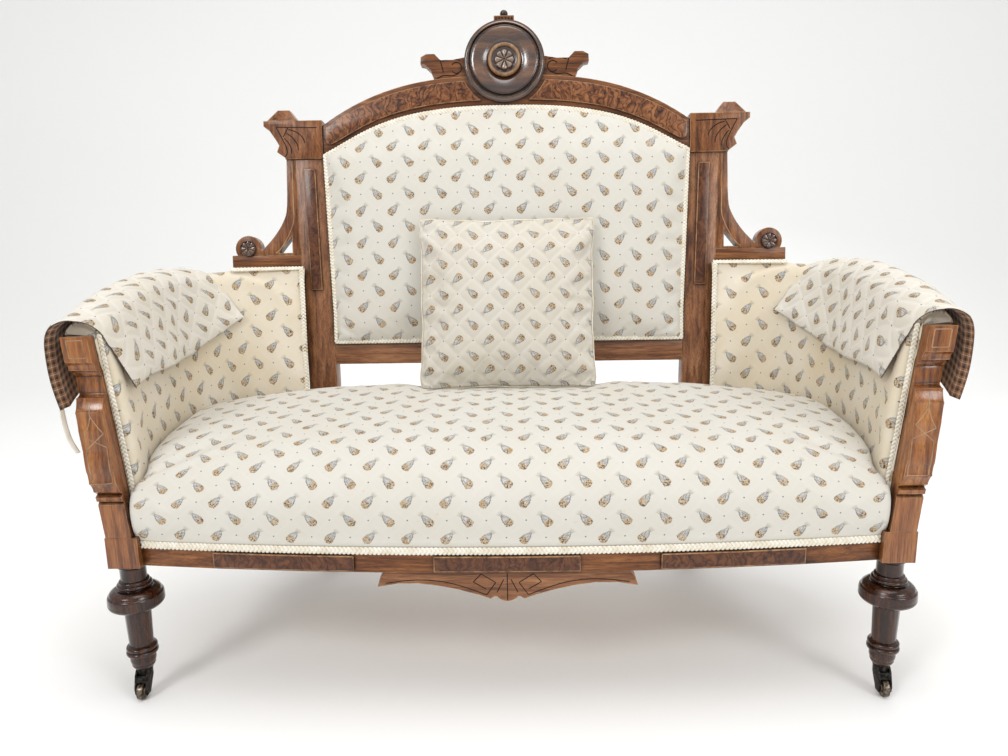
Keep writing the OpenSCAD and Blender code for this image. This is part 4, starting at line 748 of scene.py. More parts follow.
plump(piece, backPad["sim"], held)
dress(piece, "frame", "foulard_cotton", "back_pad")
print("back cushion made")


# Braided gimp: a narrow flat braid glued along every edge of the cloth
gimp = {"width": 10.5, "thick": 3.4, "pitch": 6.6, "step": 0.85, "across": 13}   # mm


def braid(name, line, outward, body, replaced=(), closed=False, width=None):
    # line: the middle of the braid in metres, outward: the way its face looks at each point
    line, outward = np.asarray(line, float), np.asarray(outward, float)
    if closed:
        line, outward = np.vstack([line, line[:1]]), np.vstack([outward, outward[:1]])
    run = arcLengths(line)
    stations = max(6, int(run[-1] / gimp["step"] * 1000))
    at = np.linspace(0, run[-1], stations)
    mid = np.column_stack([np.interp(at, run, line[:, k]) for k in range(3)])
    up = np.column_stack([np.interp(at, run, outward[:, k]) for k in range(3)])
    up /= np.linalg.norm(up, axis=1, keepdims=True)
    ahead = np.gradient(mid, axis=0)
    if closed:
        ahead[0] = ahead[-1] = mid[1] - mid[-2]
    ahead /= np.linalg.norm(ahead, axis=1, keepdims=True)
    across = np.cross(ahead, up)
    across /= np.linalg.norm(across, axis=1, keepdims=True)
    v = np.linspace(-1, 1, gimp["across"])
    beat = at * 1000 / gimp["pitch"] * math.pi
    loops = np.abs(np.sin(beat))[:, None]
    offset = np.abs(np.cos(beat))[:, None]
    middle = np.exp(-(v / 0.42) ** 2)[None]
    chevron = np.abs(np.sin(beat[:, None] + np.abs(v)[None] * 1.9))
    relief = 0.36 + 0.64 * (chevron * (1 - middle) + 0.85 * loops * middle)
    thick = gimp["thick"] / 1000 * relief * np.sqrt(1 - 0.72 * v ** 2)[None]
    half = (width or gimp["width"]) / 2000 * (0.80 + 0.20 * offset)
    top = mid[:, None] + across[:, None] * (v[None] * half)[..., None] + up[:, None] * thick[..., None]
    foot = np.array([0.9, -0.9])[None] * half
    low = mid[:, None] + across[:, None] * foot[..., None] - up[:, None] * 0.0002
    ring = np.concatenate([top, low], axis=1)
    sides = ring.shape[1]
    piece = makePiece(name, ring, tubeFaces(stations, ring.shape[1]), [finishes["braid"]])
    outwardFaces(piece)
    return dress(piece, body, "gimp_braid", *replaced)


loopA = np.concatenate([np.linspace(-1, 1, 90), np.ones(70), np.linspace(1, -1, 140), -np.ones(70)])
loopB = np.concatenate([np.zeros(90), np.linspace(0.01, 0.99, 70), np.ones(140), np.linspace(0.99, 0.01, 70)])
x, h = backSpot(loopA, loopB, opening["inset"] + gimp["width"] / 2)
gimpLine = onBack(np.column_stack([x, np.full(len(x), -backPad["edge"] - 0.3), h]))
outward = np.tile((onBack([0, -1, 0]) - onBack([0, 0, 0])) * 1000, (len(x), 1))
braid("back_panel_gimp", gimpLine, outward, "frame", ("back_gimp",), closed=True)
print("back gimp made")


# Arms: rolled pads on the side rails that turn into flat wings at the back
arms = {
    "inset": 1.0, "postSide": 411.0, "run": 383.948,           # mm: plan of the inner face
    "planShares": [(0.862, 0.005), (0.954, 0.26), (1.0, 0.52), (0.983, 0.70), (0.839, 0.872), (0.524, 0.969),
                   (0, 1)],
    "lean": [0.11, 0.08, 0.06, 0.06, 0.09, 0.12, math.tan(rake)],
    "topFront": 612.0, "topBack": 662.0, "ridgeShares": [0, 0.52, 0.86, 1, 1, 1, 1],
    "low": 270.3, "rollW": 60.0, "rollH": 74.0, "wingT": 25.0, "rollEnd": (0.66, 0.82), "padT": 0.567,
    "rows": 96, "around": 84, "frontRound": 3.2, "faceRound": 15.0, "toPost": 7.0, "lapFrom": 402.0,
    "sim": {"pressure": 1.6, "cap": 4, "spare": 0.02},
}
armWidth = legX - arms["inset"] - arms["postSide"]
armPlan = [(arms["postSide"] + armWidth * u, v * arms["run"]) for u, v in arms["planShares"]]
# the section's outline, as shares of the roll's width, of the height below the ridge and of the roll's height
rollIn = [(0, 1, 0), (0, .78, 0), (-.08, .5, 0), (-.06, .26, 0), (0, 0, .6), (.08, 0, .27), (.27, 0, .07),
          (.5, 0, 0), (.73, 0, .07), (.92, 0, .25), (1, 0, .52)]
rollOut = [(.97, 0, .7), (.9, 0, .85), (.81, 0, .93), (.73, 0, .97), (.67, 0, .99), (.62, 0, 1),
           (arms["padT"], 0, 1), (arms["padT"], .34, 0), (arms["padT"], .5, 0), (arms["padT"], .78, 0),
           (arms["padT"], 1, 0)]
wingIn = [(0, 1, 0), (0, .78, 0), (-.1, .5, 0), (-.1, .26, 0), (0, 0, .6), (.04, 0, .27), (.12, 0, .07),
          (.28, 0, .013), (.44, 0, 0), (.64, 0, 0), (.8, 0, 0)]
wingOut = [(1, 0, .05), (1, 0, .16), (1, 0, .27), (1, 0, .4), (1, 0, .55), (1, 0, .75), (1, 0, 1),
           (1, .34, 0), (1, .5, 0), (1, .78, 0), (1, 1, 0)]
armPost = {
    "outset": 3.0, "width": 40.0, "lean": math.tan(math.radians(5)), "foot": 280.0, "top": 592.0,
    "back": 21.0,
}


def planPoint(s):
    return follow(armPlan, s)


def planNormal(s):
    d = planPoint(np.minimum(1, s + 0.004)) - planPoint(np.maximum(0, s - 0.004))
    d /= np.linalg.norm(d, axis=-1, keepdims=True)
    return np.stack([d[..., 1], -d[..., 0]], axis=-1)


def armPoint(s, u, z):
    # s along the arm's plan, u outwards from its inner face and z up, in millimetres
    s, u, z = np.broadcast_arrays(np.asarray(s, float), u, z)
    w = (u + follow(arms["lean"], s) * np.maximum(0, z - settee["leanLine"]))[..., None]
    flat = planPoint(s) + w * planNormal(s)
    return np.stack([flat[..., 0], flat[..., 1], z], axis=-1)


def ridge(s):
    return arms["topFront"] + (arms["topBack"] - arms["topFront"]) * follow(arms["ridgeShares"], s)


def rolled(s):
    return 1 - ease((s - arms["rollEnd"][0]) / (arms["rollEnd"][1] - arms["rollEnd"][0]))


def sectionSpots(s, rolls, wings, t, lift=0.0):
    # points of the arm's section at station s, t from 0 to 1 along the section's outline
    k, top = rolled(s), ridge(s)
    r, w = follow(rolls, t), follow(wings, t)
    u = r[..., 0] * arms["rollW"] * k + w[..., 0] * arms["wingT"] * (1 - k)
    f = r[..., 1] * k + w[..., 1] * (1 - k)
    d = r[..., 2] * k + w[..., 2] * (1 - k)
    return armPoint(s, u, top - f * (top - arms["low"]) - d * arms["rollH"] + lift)


def postInnerSide(z):
    return legX + armPost["outset"] - armPost["width"] / 2 + armPost["lean"] * (z - armPost["foot"])


def sided(points, flip):
    # points of the right side as they are, or moved to the left side where flip is -1
    return np.asarray(points) * (flip, 1, 1)


s = np.concatenate([np.linspace(0, 1, 14) ** 1.6 * 0.045, np.linspace(0.055, 1, arms["rows"] - 14)])
t = np.linspace(0, 1, arms["around"])
s, t = np.meshgrid(s, t, indexing="ij")
shape = sectionSpots(s, rollIn + rollOut, wingIn + wingOut, t)
lengths = arcLengths(shape, axis=1)
alongArm = np.repeat(arcLengths(shape[:, 24:25], axis=0), arms["around"], axis=1)
cloth = np.stack([alongArm, lengths], axis=-1) / 1000
turnIn = arms["faceRound"] - arms["frontRound"]
turnIn = arms["frontRound"] + turnIn * ease((0.26 - t) / 0.12)      # rounder at the inner face
inAt = np.clip(1 - s * arms["run"] / turnIn, 0, 1)
tangent = np.gradient(shape, axis=1)
tangent /= np.maximum(np.linalg.norm(tangent, axis=-1, keepdims=True), 1e-9)
inward = np.stack([tangent[..., 2], np.zeros_like(s), -tangent[..., 0]], axis=-1)
shape = shape + inward * (turnIn * (1 - np.sqrt(1 - inAt ** 2)))[..., None]
# the wing laps onto the back post's edge
lap = arms["toPost"] * ease((s - 0.96) / 0.04)
shape[..., 0] -= lap * np.clip((shape[..., 2] - arms["lapFrom"]) / 14, 0, 1) * (t < 0.5)
# beside the post the pad is cut back to the post's inner side, and below the block to the rail's end
beside = (shape[..., 1] < armPost["back"] + 0.8) & (shape[..., 2] < armPost["top"] + 0.6)
limit = np.where(shape[..., 2] < armPost["foot"] + 0.5, legX - 25.6, postInnerSide(shape[..., 2]) - 0.6)
shape[..., 0] = np.where(beside, np.minimum(shape[..., 0], limit), shape[..., 0])
around = range(arms["around"])
last = (arms["rows"] - 1) * arms["around"]
faces = gridFaces(arms["rows"], arms["around"], wrap=True)
faces += [[t.size + k for k in around][::-1], [last + k for k in around]]
frontEnd = shape[0]
shape = np.concatenate([shape.reshape(-1, 3), frontEnd])
cloth = np.concatenate([cloth.reshape(-1, 2), frontEnd[:, [0, 2]] / 1000])
fixed = np.append(((t < 0.03) | (t > 0.5) | (s < 0.06) | (s > 0.985)).ravel(), np.ones(len(around), bool))
for side, flip in bothSides:
    piece = makePiece("arm_cushion_" + side, place(sided(shape, flip)),
                      faces if flip == -1 else [face[::-1] for face in faces], [finishes["printArms"]],
                      cloth * (flip, 1))
    plump(piece, arms["sim"], np.flatnonzero(fixed))
    dress(piece, "frame", "foulard_cotton", "arm_pad_" + side)
print("arm cushions made")

# Gimp on the front edge of each arm, under the wing rail and down the back post
armGimp = {
    "front": 8.8, "clear": 0.6, "topIn": 4.0, "from": 0.78, "edge": 0.996, "edgeLow": 408.0, "wingClear": 0.6,
}
for side, flip in bothSides:
    z = np.linspace(arms["low"] + 3, armPost["top"] + 1, 80)
    line = armPoint(np.zeros(80), 12.0, z)
    line[:, 0] = postInnerSide(z) - armGimp["front"] / 2 - 0.6
    line[:, 1] -= armGimp["clear"]
    braid("arm_front_gimp_" + side, place(sided(line, flip)), np.tile((0.0, -1.0, 0.0), (80, 1)), "frame",
          ("arm_gimp",) if flip == 1 else (), width=armGimp["front"])
    at = np.linspace(armGimp["from"], 0.998, 40)
    line = armPoint(at, armGimp["topIn"], ridge(at) + 0.2)
    line[:, 0] -= arms["toPost"] * ease((at - 0.96) / 0.04)
    out = np.column_stack([-planNormal(at) * 0.6, np.full(40, 0.8)])
    braid("wing_top_gimp_" + side, place(sided(line, flip)), sided(out, flip), "frame")
    at = np.full(40, armGimp["edge"])
    line = armPoint(at, -armGimp["wingClear"], np.linspace(armGimp["edgeLow"], arms["topBack"] - 1, 40))
    line[:, 0] -= arms["toPost"] - 2.5
    out = np.column_stack([-planNormal(at), np.zeros(40)])
    braid("wing_edge_gimp_" + side, place(sided(line, flip)), sided(out, flip), "frame")
print("arm gimps made")


# Seat: a sprung cushion with a rolled nose over the bowed front rail
seat = {
    "rows": [(0, .015), (.005, .16), (.010, .34), (.022, .50), (.052, .66), (.1, .77), (.18, .85), (.3, .915),
             (.45, .965), (.6, .99), (.74, 1.01), (.86, 1.02), (.94, 1.01), (.985, .985), (1, .97)],
    "nose": [0, .75, 1, .9, .55, 0, 0, 0, 0, 0, 0, 0, 0, 0, 0],
    "front": -48.0, "noseOut": 13.0, "bow": 35.0, "inset": 3.5, "back": 394.15,    # mm
    "low": 270.3, "top": 437.0, "sideFall": 30.0, "hollow": 352.0, "hollowShare": 0.9,
    "cols": 150, "lines": 96, "cornerOut": 10.5, "printScale": 0.915, "rearLap": 9.0,
    "dip": 4.0, "tuck": 7.0, "dent": 13.0,       # mm: where people sit, along the arms and under the pillow
    "sim": {"pressure": 2.2, "cap": 5, "spare": 0.012},
}
stations = np.linspace(0, 1, 200)
planInside = planPoint(stations) - seat["inset"] * planNormal(stations)
wingY = planInside[-1, 1]


def seatHalf(y):
    return np.where(y > wingY, opening["postIn"] - 1, np.interp(y, planInside[:, 1], planInside[:, 0]))


a = np.linspace(-1, 1, seat["cols"])
a = a * 0.7 + np.sin(a * math.pi / 2) * 0.3
r = np.concatenate([np.linspace(0, 0.36, 34), np.linspace(0.37, 1, seat["lines"] - 36)])
rowShares = follow(seat["rows"], r)
noseOut = follow(seat["nose"], r) * seat["noseOut"]
y = seat["front"] + (wingY - seat["front"]) * rowShares[:, 0]
rise = rowShares[:, 1]
y = np.concatenate([y, [wingY + 1, seat["back"]]])
rise = np.concatenate([rise, [0.945, 0.9]])
noseOut = np.concatenate([noseOut, [0, 0]])
share = np.concatenate([rowShares[:, 0], [1, 1]])
a2, y2 = np.meshgrid(a, y)
rise2, nose2, share2 = (np.repeat(k[:, None], len(a), axis=1) for k in (rise, noseOut, share))
yy = y2 + seat["bow"] * a2 ** 2 * np.maximum(0, 1 - 4 * share2) - nose2
x = a2 * (seatHalf(y2) + seat["cornerOut"] * ease((16 - yy) / 26))
fall = seat["sideFall"] * np.abs(a2) ** 3 * ease(rise2 * 1.6)
z = seat["low"] + (seat["top"] - seat["low"] - fall) * rise2
# soft hollows where people sit, a tucked line along the arms and a hollow under the pillow
dip = seat["dip"] * np.exp(-((np.abs(x) - 270) / 150) ** 2 - ((yy - 190) / 110) ** 2) * (rise2 > 0.7)
tuck = seat["tuck"] * np.clip((np.abs(a2) - 0.965) / 0.035, 0, 1) ** 2 * (rise2 > 0.6)
dent = seat["dent"] * np.exp(-(np.maximum(0, np.abs(x) - 150) / 34) ** 2 - ((yy - 333) / 60) ** 2)
z = z - dip - tuck - dent * (rise2 > 0.6)
top = np.stack([x, yy, z], axis=-1)
low = top.copy()
low[..., 1] += nose2
inside = (share2 > 0.1) & (y2 < wingY - 15) & (np.abs(a2) < seat["hollowShare"])
low[..., 2] = np.where(inside, seat["hollow"], seat["low"])
low[-1, :, 1] += seat["rearLap"]                         # the cloth runs out over the rear rail
rows, cols = top.shape[:2]
count = rows * cols
run = arcLengths(top[:, cols // 2:cols // 2 + 1], axis=0)
cloth = np.stack([x, np.repeat(run, cols, axis=1)], axis=-1) / 1000 / seat["printScale"]
hem = (top - low)[..., 2] / 1000 / seat["printScale"]
under = cloth.copy()                                     # the print runs on down the sides and the rear
under[:, 0, 0] -= hem[:, 0]
under[:, -1, 0] += hem[:, -1]
under[-1, :, 1] += hem[-1]
piece = makePiece("seat_cushion", place(stacked(top, low)), shellFaces(rows, cols), [finishes["print"]],
                  stacked(cloth, under))
number = np.arange(count).reshape(rows, cols)
held = (number[:3], number[-3:], number[:, :3], number[:, -3:], np.arange(count, 2 * count))
plump(piece, seat["sim"], np.concatenate([part.ravel() for part in held]))
dress(piece, "frame", "foulard_cotton", "seat_pad")
print("seat cushion made")

rail = {"end": 567.0, "face": 48.0, "bow": 35.0, "gimpZ": 265.5, "gimpW": 13.0}   # mm
bowR = (rail["end"] ** 2 + rail["bow"] ** 2) / (2 * rail["bow"])


def bowPoint(x, ahead, z):
    # a place on the front rail's bowed face
    angle = np.arcsin(x / bowR)
    y = bowR - rail["face"] - (bowR + ahead) * np.cos(angle)
    return np.stack([(bowR + ahead) * np.sin(angle), y, np.broadcast_to(z, np.shape(x))], axis=-1)


x = np.linspace(-rail["end"] + 0.5, rail["end"] - 0.5, 160)
line = bowPoint(x, 0.1, rail["gimpZ"])
out = np.column_stack([np.sin(x / bowR), -np.cos(x / bowR), np.zeros(len(x))])
braid("seat_rail_gimp", place(line), out, "frame", ("seat_gimp",), width=rail["gimpW"])
print("seat gimp made")

# Front leg: a turned leg with a wide disc, a plain shaft and a cup over the caster
leg = {
    "profile": [          # mm: radius, height and how far the turning swells before the next point
        (0, 230, 0), (21.8, 230, 0.3), (21.8, 225.6, 0), (20.6, 225.0, 0), (19.4, 222.8, 0), (19.2, 203.0, 0),
        (20.8, 202.2, 0.5), (22.4, 199.0, 0.1), (22.8, 197.4, 0.9), (23.6, 190.6, 0), (22.8, 189.4, -0.3),
        (25.6, 188.0, 0), (26.6, 188.6, 0.34), (38.6, 181.0, 0), (39.4, 179.6, 0.3), (41.4, 176.2, 0.1),
        (41.6, 167.4, 0.35), (39.4, 160.4, 0.2), (34.0, 157.0, 0), (24.0, 155.6, 0),
        (20.8, 153.6, 0), (20.0, 149.6, 0), (17.9, 90.6, 0), (19.6, 89.4, 0.75), (22.0, 83.2, 0),
        (20.9, 82.5, 0), (21.2, 81.7, 0.75), (21.2, 74.0, 0), (19.4, 72.8, 0), (19.4, 66.0, 0.12),
        (17.6, 58.4, 0.3), (13.6, 50.2, 0), (0, 50.2, 0),
    ],
    "sides": 96, "facets": 16, "facetDepth": 0.35,
}


def turned(profile, steps=7):
    # the full outline of a turned piece, with each swelling drawn as an arc
    outline = []
    for (r0, z0, swell), (r1, z1, _) in zip(profile, profile[1:]):
        count = steps if swell else 1
        t = np.arange(count) / count
        rise = np.sqrt(np.maximum(0, 1 - (2 * t - 1) ** 2)) * swell * 0.5
        outline += list(zip(r0 + (r1 - r0) * t - (z1 - z0) * rise, z0 + (z1 - z0) * t + (r1 - r0) * rise))
    return np.array(outline + [profile[-1][:2]])


def closedRings(name, points, sides, finish, toWorld, sharp):
    # a mesh over rings of points that lie between one first and one last point
    rings = (len(points) - 2) // sides
    last = 1 + (rings - 1) * sides
    faces = gridFaces(rings, sides, start=1, wrap=True)
    faces += [[0, 1 + (k + 1) % sides, 1 + k] for k in range(sides)]
    faces += [[len(points) - 1, last + k, last + (k + 1) % sides] for k in range(sides)]
    piece = makePiece(name, toWorld(points), faces, [finishes[finish]])
    outwardFaces(piece)
    piece.data.set_sharp_from_angle(angle=math.radians(sharp))
    return piece


def spin(name, outline, sides, finish, toWorld, wave=None):
    # outline: radius and height along the axis; wave may change the radii round the piece
    turn = np.arange(sides) * 2 * math.pi / sides
    radii = np.repeat(outline[:, :1], sides, axis=1)
    heights = np.repeat(outline[:, 1:2], sides, axis=1)
    if wave:
        radii = wave(radii, heights, turn[None])
    points = np.stack([radii * np.cos(turn), radii * np.sin(turn), heights], axis=-1)
    ends = points[0, :1] * (0, 0, 1), points[-1, :1] * (0, 0, 1)
    points = np.concatenate([ends[0], points[1:-1].reshape(-1, 3), ends[1]])
    return closedRings(name, points, sides, finish, toWorld, 38)


def facetWave(radii, heights, turn):
    shaft = (heights < 150) & (heights > 92)
    return radii - shaft * leg["facetDepth"] * np.abs(np.cos(turn * leg["facets"] / 2))


for side, flip in bothSides:
    piece = spin("turned_leg_" + side, turned(leg["profile"]), leg["sides"], "ebonised",
                 lambda q, flip=flip: place(q + (flip * legX, 0, 0)), facetWave)
    dress(piece, "frame", "ebonised_walnut", "front_leg_" + side)
print("front legs turned")

# Crest: turned medallion with a ring and a rosette, and a ball on a small block
crest = {
    "height": 1067.0,     # mm, as all that follows
    "medallion": [(0, 0, 0), (79.5, 0, 0), (79.5, 7.0, 0.55), (70.6, 16.8, 0), (69.6, 15.4, 0),
                  (69.2, 10.4, -0.6), (66.8, 10.4, 0), (66.4, 15.2, 0.9), (64.6, 15.8, 0),
                  (63.8, 14.6, -0.16), (36.0, 10.2, 0), (0, 10.1, 0)],
    "ringRadius": 29.0, "ringWire": 3.9, "ringDepth": 13.6,
    "rosetteRadius": 20.0, "petals": 8, "petalRise": 7.0, "button": 4.4,
    "roundelRadius": 16.0, "roundelSpot": (526.3, 707.25),
    "ballRadius": 8.0, "ballSpot": (15.0, 1164.4),
}


def onCrest(across, behind, up):
    # turned pieces on the back frame: their axis points forwards
    return lambda q: onBack(np.stack([q[..., 0] + across, behind - q[..., 2], q[..., 1] + up], axis=-1))


def petalled(name, radius, base, rise, button, finish, toWorld, petals, rim=0.0):
    # a carved rosette: petals parted by cuts, each domed across, round a button
    rings, sides = 34, petals * 18
    r = np.linspace(0, 1, rings)
    turn = np.arange(sides) * 2 * math.pi / sides
    beat = np.abs(np.cos(turn * petals / 2))[None]
    rr = r[:, None] * np.ones_like(turn)[None]
    outline = 0.9 + 0.1 * beat ** 0.5
    across = np.clip(rr / outline, 0, 1)
    dome = np.sqrt(np.maximum(0, 1 - (2 * across - 1.08) ** 4))
    height = rise * (0.18 + 0.82 * dome * (0.35 + 0.65 * beat ** 0.45))
    height = base + height * np.clip((1.03 - across) / 0.12, 0, 1)
    height += button * np.sqrt(np.maximum(0, 1 - (rr * radius / button) ** 2)) * 0.8
    if rim:
        height = np.maximum(height, base + rim * np.exp(-((rr - 0.93) / 0.05) ** 2))
    ends = np.where(rr >= 0.999, 0.0, height)
    outlineR = rr * radius
    points = np.stack([outlineR * np.cos(turn), outlineR * np.sin(turn), ends], axis=-1)
    middle = [[0, 0, base + button * 0.8 + rise * 0.18]]
    points = np.concatenate([middle, points[1:].reshape(-1, 3), [[0, 0, 0]]])
    return closedRings(name, points, sides, finish, toWorld, 50)


onMedallion = onCrest(0, 0, crest["height"])
piece = spin("crest_medallion", turned(crest["medallion"], 9), 120, "medal", onMedallion)
dress(piece, "frame", "ebonised_walnut", "medallion")
turn = np.linspace(0, 2 * math.pi, 20, endpoint=False)
wire = crest["ringRadius"] + crest["ringWire"] * np.cos(turn)
depth = crest["ringDepth"] + crest["ringWire"] * np.sin(turn)
turn = np.linspace(0, 2 * math.pi, 96, endpoint=False)
spots = (np.outer(np.cos(turn), wire), np.outer(np.sin(turn), wire), np.tile(depth, (96, 1)))
spots = np.stack(spots, axis=-1)
piece = makePiece("crest_ring", onMedallion(spots), loopFaces(96, 20), [finishes["ringTan"]])
dress(piece, "frame", "walnut", "medallion_ring")
piece = petalled("crest_rosette", crest["rosetteRadius"], 10.2, crest["petalRise"], crest["button"],
                 "medalPaintedSheen", onMedallion, crest["petals"])
dress(piece, "frame", "ebonised_walnut", "medallion_rosette")
across, up = crest["roundelSpot"]
for side, flip in bothSides:
    piece = petalled("wing_roundel_" + side, crest["roundelRadius"], 0.6, 3.4, 2.8, "roundel",
                     onCrest(flip * across, 0, up), crest["petals"], rim=5.0)
    dress(piece, "frame", "ebonised_walnut", *(("roundels",) if flip == 1 else ()))
behind, up = crest["ballSpot"]
t = np.linspace(-0.85, 1.35, 14)
ball = np.vstack([[(0, -9), (6.0, -9), (6.2, -7.6), (4.2, -6.6), (3.8, -5.6)],
                  crest["ballRadius"] * np.column_stack([np.cos(t), np.sin(t)]), [(0, crest["ballRadius"])]])
piece = spin("crest_ball_turned", ball, 40, "ebonised",
             lambda q: onBack(np.stack([q[..., 0], q[..., 1] + behind, q[..., 2] + up], axis=-1)))
dress(piece, "frame", "ebonised_walnut", "crest_ball")
print("crest turnings made")

# Show wood that keeps its imported shape: eased edges rubbed lighter, as wear and painted highlight, and
# incised lines
showWood = {"edge": 1.3, "line": 1.05}     # mm
frontFace = {"cap": -4.0, "bracket": 0.0, "crest": 3.0, "block": 0.0}      # mm behind the back frame's plane


def smoothLine(line, steps):
    # a curve through the line's points; a line of two points stays straight
    return follow(line, np.linspace(0, 1, steps)) if len(line) > 2 else np.asarray(line, float)


def mirrorLines(lines, flip):
    return [np.asarray(line, float) * (flip, 1) for line in lines]


def backLines(lines, behind, flip=1):
    # smooth lines drawn on the back frame, across and up, at a depth
    made = []
    for line in mirrorLines(lines, flip):
        curve = smoothLine(line, 8 * (len(line) - 1) + 1)
        made.append(onBack(np.column_stack([curve[:, 0], np.full(len(curve), behind), curve[:, 1]])))
    return made


def capSpot(points):
    # from the cap's own width and height shares to millimetres on the back frame
    return [(502.3 - 0.1293 * x, 960 - 0.1357 * y) for x, y in points]


def woodwork(node, name, finish, edge, *grooves, slot="walnut"):
    # a node of show wood with eased edges rubbed lighter, as wear and painted highlight, and grooves given as
    # lines, radius and finish
    piece = softened(node, name, finishes[finish], edge, finishes["wornEdgeHighlight"])
    if grooves:
        engrave(piece, *grooves)
    dress(piece, "frame", slot, node)


capLines = [capSpot(line) for line in (
    [(330, 95), (960, 110)], [(330, 95), (425, 270)],
    [(425, 270), (468, 360), (490, 430), (482, 490), (440, 540)],
    [(515, 105), (432, 240)], [(520, 130), (620, 160), (700, 210), (752, 270), (770, 330)],
    [(490, 180), (570, 240), (622, 300), (656, 360), (665, 430)],
    [(450, 255), (510, 320), (546, 380), (560, 430), (560, 480)])]
bracketLines = [[(431.5, 882), (431.5, 800), (431.2, 770), (435, 752), (447, 726), (460, 707), (470, 698)]]
scroll = [(96 + 10.5 * math.cos(a), 1058 + 10.5 * math.sin(a)) for a in np.linspace(0.6, 5.6, 12)]
crestLines = [scroll, [(90, 1047.5), (104, 1043), (122, 1043.5), (135, 1038)],
              [(88, 1072), (104, 1076), (124, 1071)], [(124, 1086), (152, 1086)], [(128, 1074), (122, 1050)]]
blockLines = [[(x, 1139), (x, 1153)] for x in (3.5, 9.5, 15.5)]
for node, finish in (("lower_back_rail", "walnutPaleAcross"), ("crest_rail", "walnutAcross"),
                     ("front_rail", "walnutAcross"), ("corner_blocks", "walnutPost"),
                     ("wing_rail_left", "walnutAcross"), ("wing_rail_right", "walnutAcross"),
                     ("post_finials", "walnutUpright"), ("side_rail_left", "walnutDeep"),
                     ("side_rail_right", "walnutDeep")):
    woodwork(node, node + "_worn", finish, showWood["edge"])
panel = {                 # mm; the arch is the upper side of the crest rail
    "proud": 5.0, "under": 1.0, "border": 10.0, "ring": 88.0, "outer": 361.0, "round": 17.0, "edge": 1.6,
    "archTop": 1042, "archDrop": 92, "archHalf": 367,
}


def archUpper(x):
    return panel["archTop"] - panel["archDrop"] * (np.abs(x) / panel["archHalf"]) ** 2.8


def easeEdges(piece, width, angle=28):
    # rounds a piece's sharp outward edges and gives them its second material
    shape = bmesh.new()
    shape.from_mesh(piece.data)
    bmesh.ops.recalc_face_normals(shape, faces=shape.faces)
    bevelSharp(shape, width, angle, 1)
    for face in shape.faces:
        face.smooth = True
    shape.to_mesh(piece.data)
    shape.free()
    piece.data.set_sharp_from_angle(angle=math.radians(32))
    return piece


xs = np.linspace(20, panel["outer"], 240)
low = archLower(xs) + panel["border"]
corner = np.clip(xs - (panel["outer"] - panel["round"]), 0, panel["round"])
low = low + panel["round"] - np.sqrt(panel["round"] ** 2 - corner ** 2)
high = archUpper(xs) - panel["border"]
lowKeep = np.hypot(xs, low - crest["height"]) > panel["ring"]
highKeep = np.hypot(xs, high - crest["height"]) > panel["ring"]
bottomLine, topLine = np.column_stack([xs, low])[lowKeep], np.column_stack([xs, high])[highKeep]
a0, a1 = (math.atan2(q[1] - crest["height"], q[0]) for q in (topLine[0], bottomLine[0]))
t = np.linspace(a0, a1, 14)[1:-1]
arcLine = np.column_stack([panel["ring"] * np.cos(t), crest["height"] + panel["ring"] * np.sin(t)])
outline = np.vstack([bottomLine[::3], bottomLine[-1:], topLine[::-3], topLine[:1], arcLine])
for side, flip in bothSides:
    near = np.column_stack([outline[:, 0] * flip, np.full(len(outline), -panel["proud"]), outline[:, 1]])
    far = near + (0, panel["proud"] + panel["under"], 0)
    piece = makePiece("arch_veneer_panel_" + side, onBack(np.concatenate([near, far])),
                      prismFaces(len(outline)), [finishes["burl"], finishes["wornEdgeHighlight"]])
    easeEdges(piece, panel["edge"])
    dress(piece, "frame", "burl_veneer", *(("arch_burl_panels",) if flip == 1 else ()))
for node in ("post_burl_panels", "rail_burl_panels"):
    woodwork(node, node + "_veneered", "burlCalm", 1.7, slot="burl_veneer")
for side, flip in bothSides:
    woodwork("post_cap_" + side, "carved_cap_" + side, "walnutUpright", showWood["edge"],
             backLines(capLines, frontFace["cap"], flip), showWood["line"])
    woodwork("wing_bracket_" + side, "pierced_bracket_" + side, "walnutUpright", 1.2,
             backLines(bracketLines, frontFace["bracket"], flip), 0.9, "groovePale")
    woodwork("back_post_" + side, "back_upright_" + side, "walnutPale", showWood["edge"])
woodwork("crest_board", "carved_crest_board", "walnutAcross", 1.6,
         [line for flip in (1, -1) for line in backLines(crestLines, frontFace["crest"], flip)], 1.2)
woodwork("crest_block", "crest_block_cut", "walnutAcross", 1.0,
         [line for flip in (1, -1) for line in backLines(blockLines, frontFace["block"], flip)], 1.4)
apron = {"face": -43.0, "low": 230.0}     # mm
apronLines = [[(39.5, -4), (17.6, -18)], [(17.6, -18), (31.6, -38)],
              [(31.6, -38), (66.8, -24.5), (100, -15.7), (140.8, -13), (184, -18)],
              [(39.5, -4), (51.5, -17)], [(51.5, -17), (32.4, -28.4)], [(5.6, -13), (15.8, -34)],
              [(0, -1), (0, -47)]]
lines = []
for line in mirrorLines(apronLines, 1) + mirrorLines(apronLines, -1)[:-1]:
    curve = smoothLine(line, 33)
    lines.append(place(np.column_stack([curve[:, 0], np.full(len(curve), apron["face"]),
                                        curve[:, 1] + apron["low"]])))
woodwork("apron", "carved_apron", "walnutPaleAcross", 1.4, lines, 0.8)
print("show wood eased and carved")

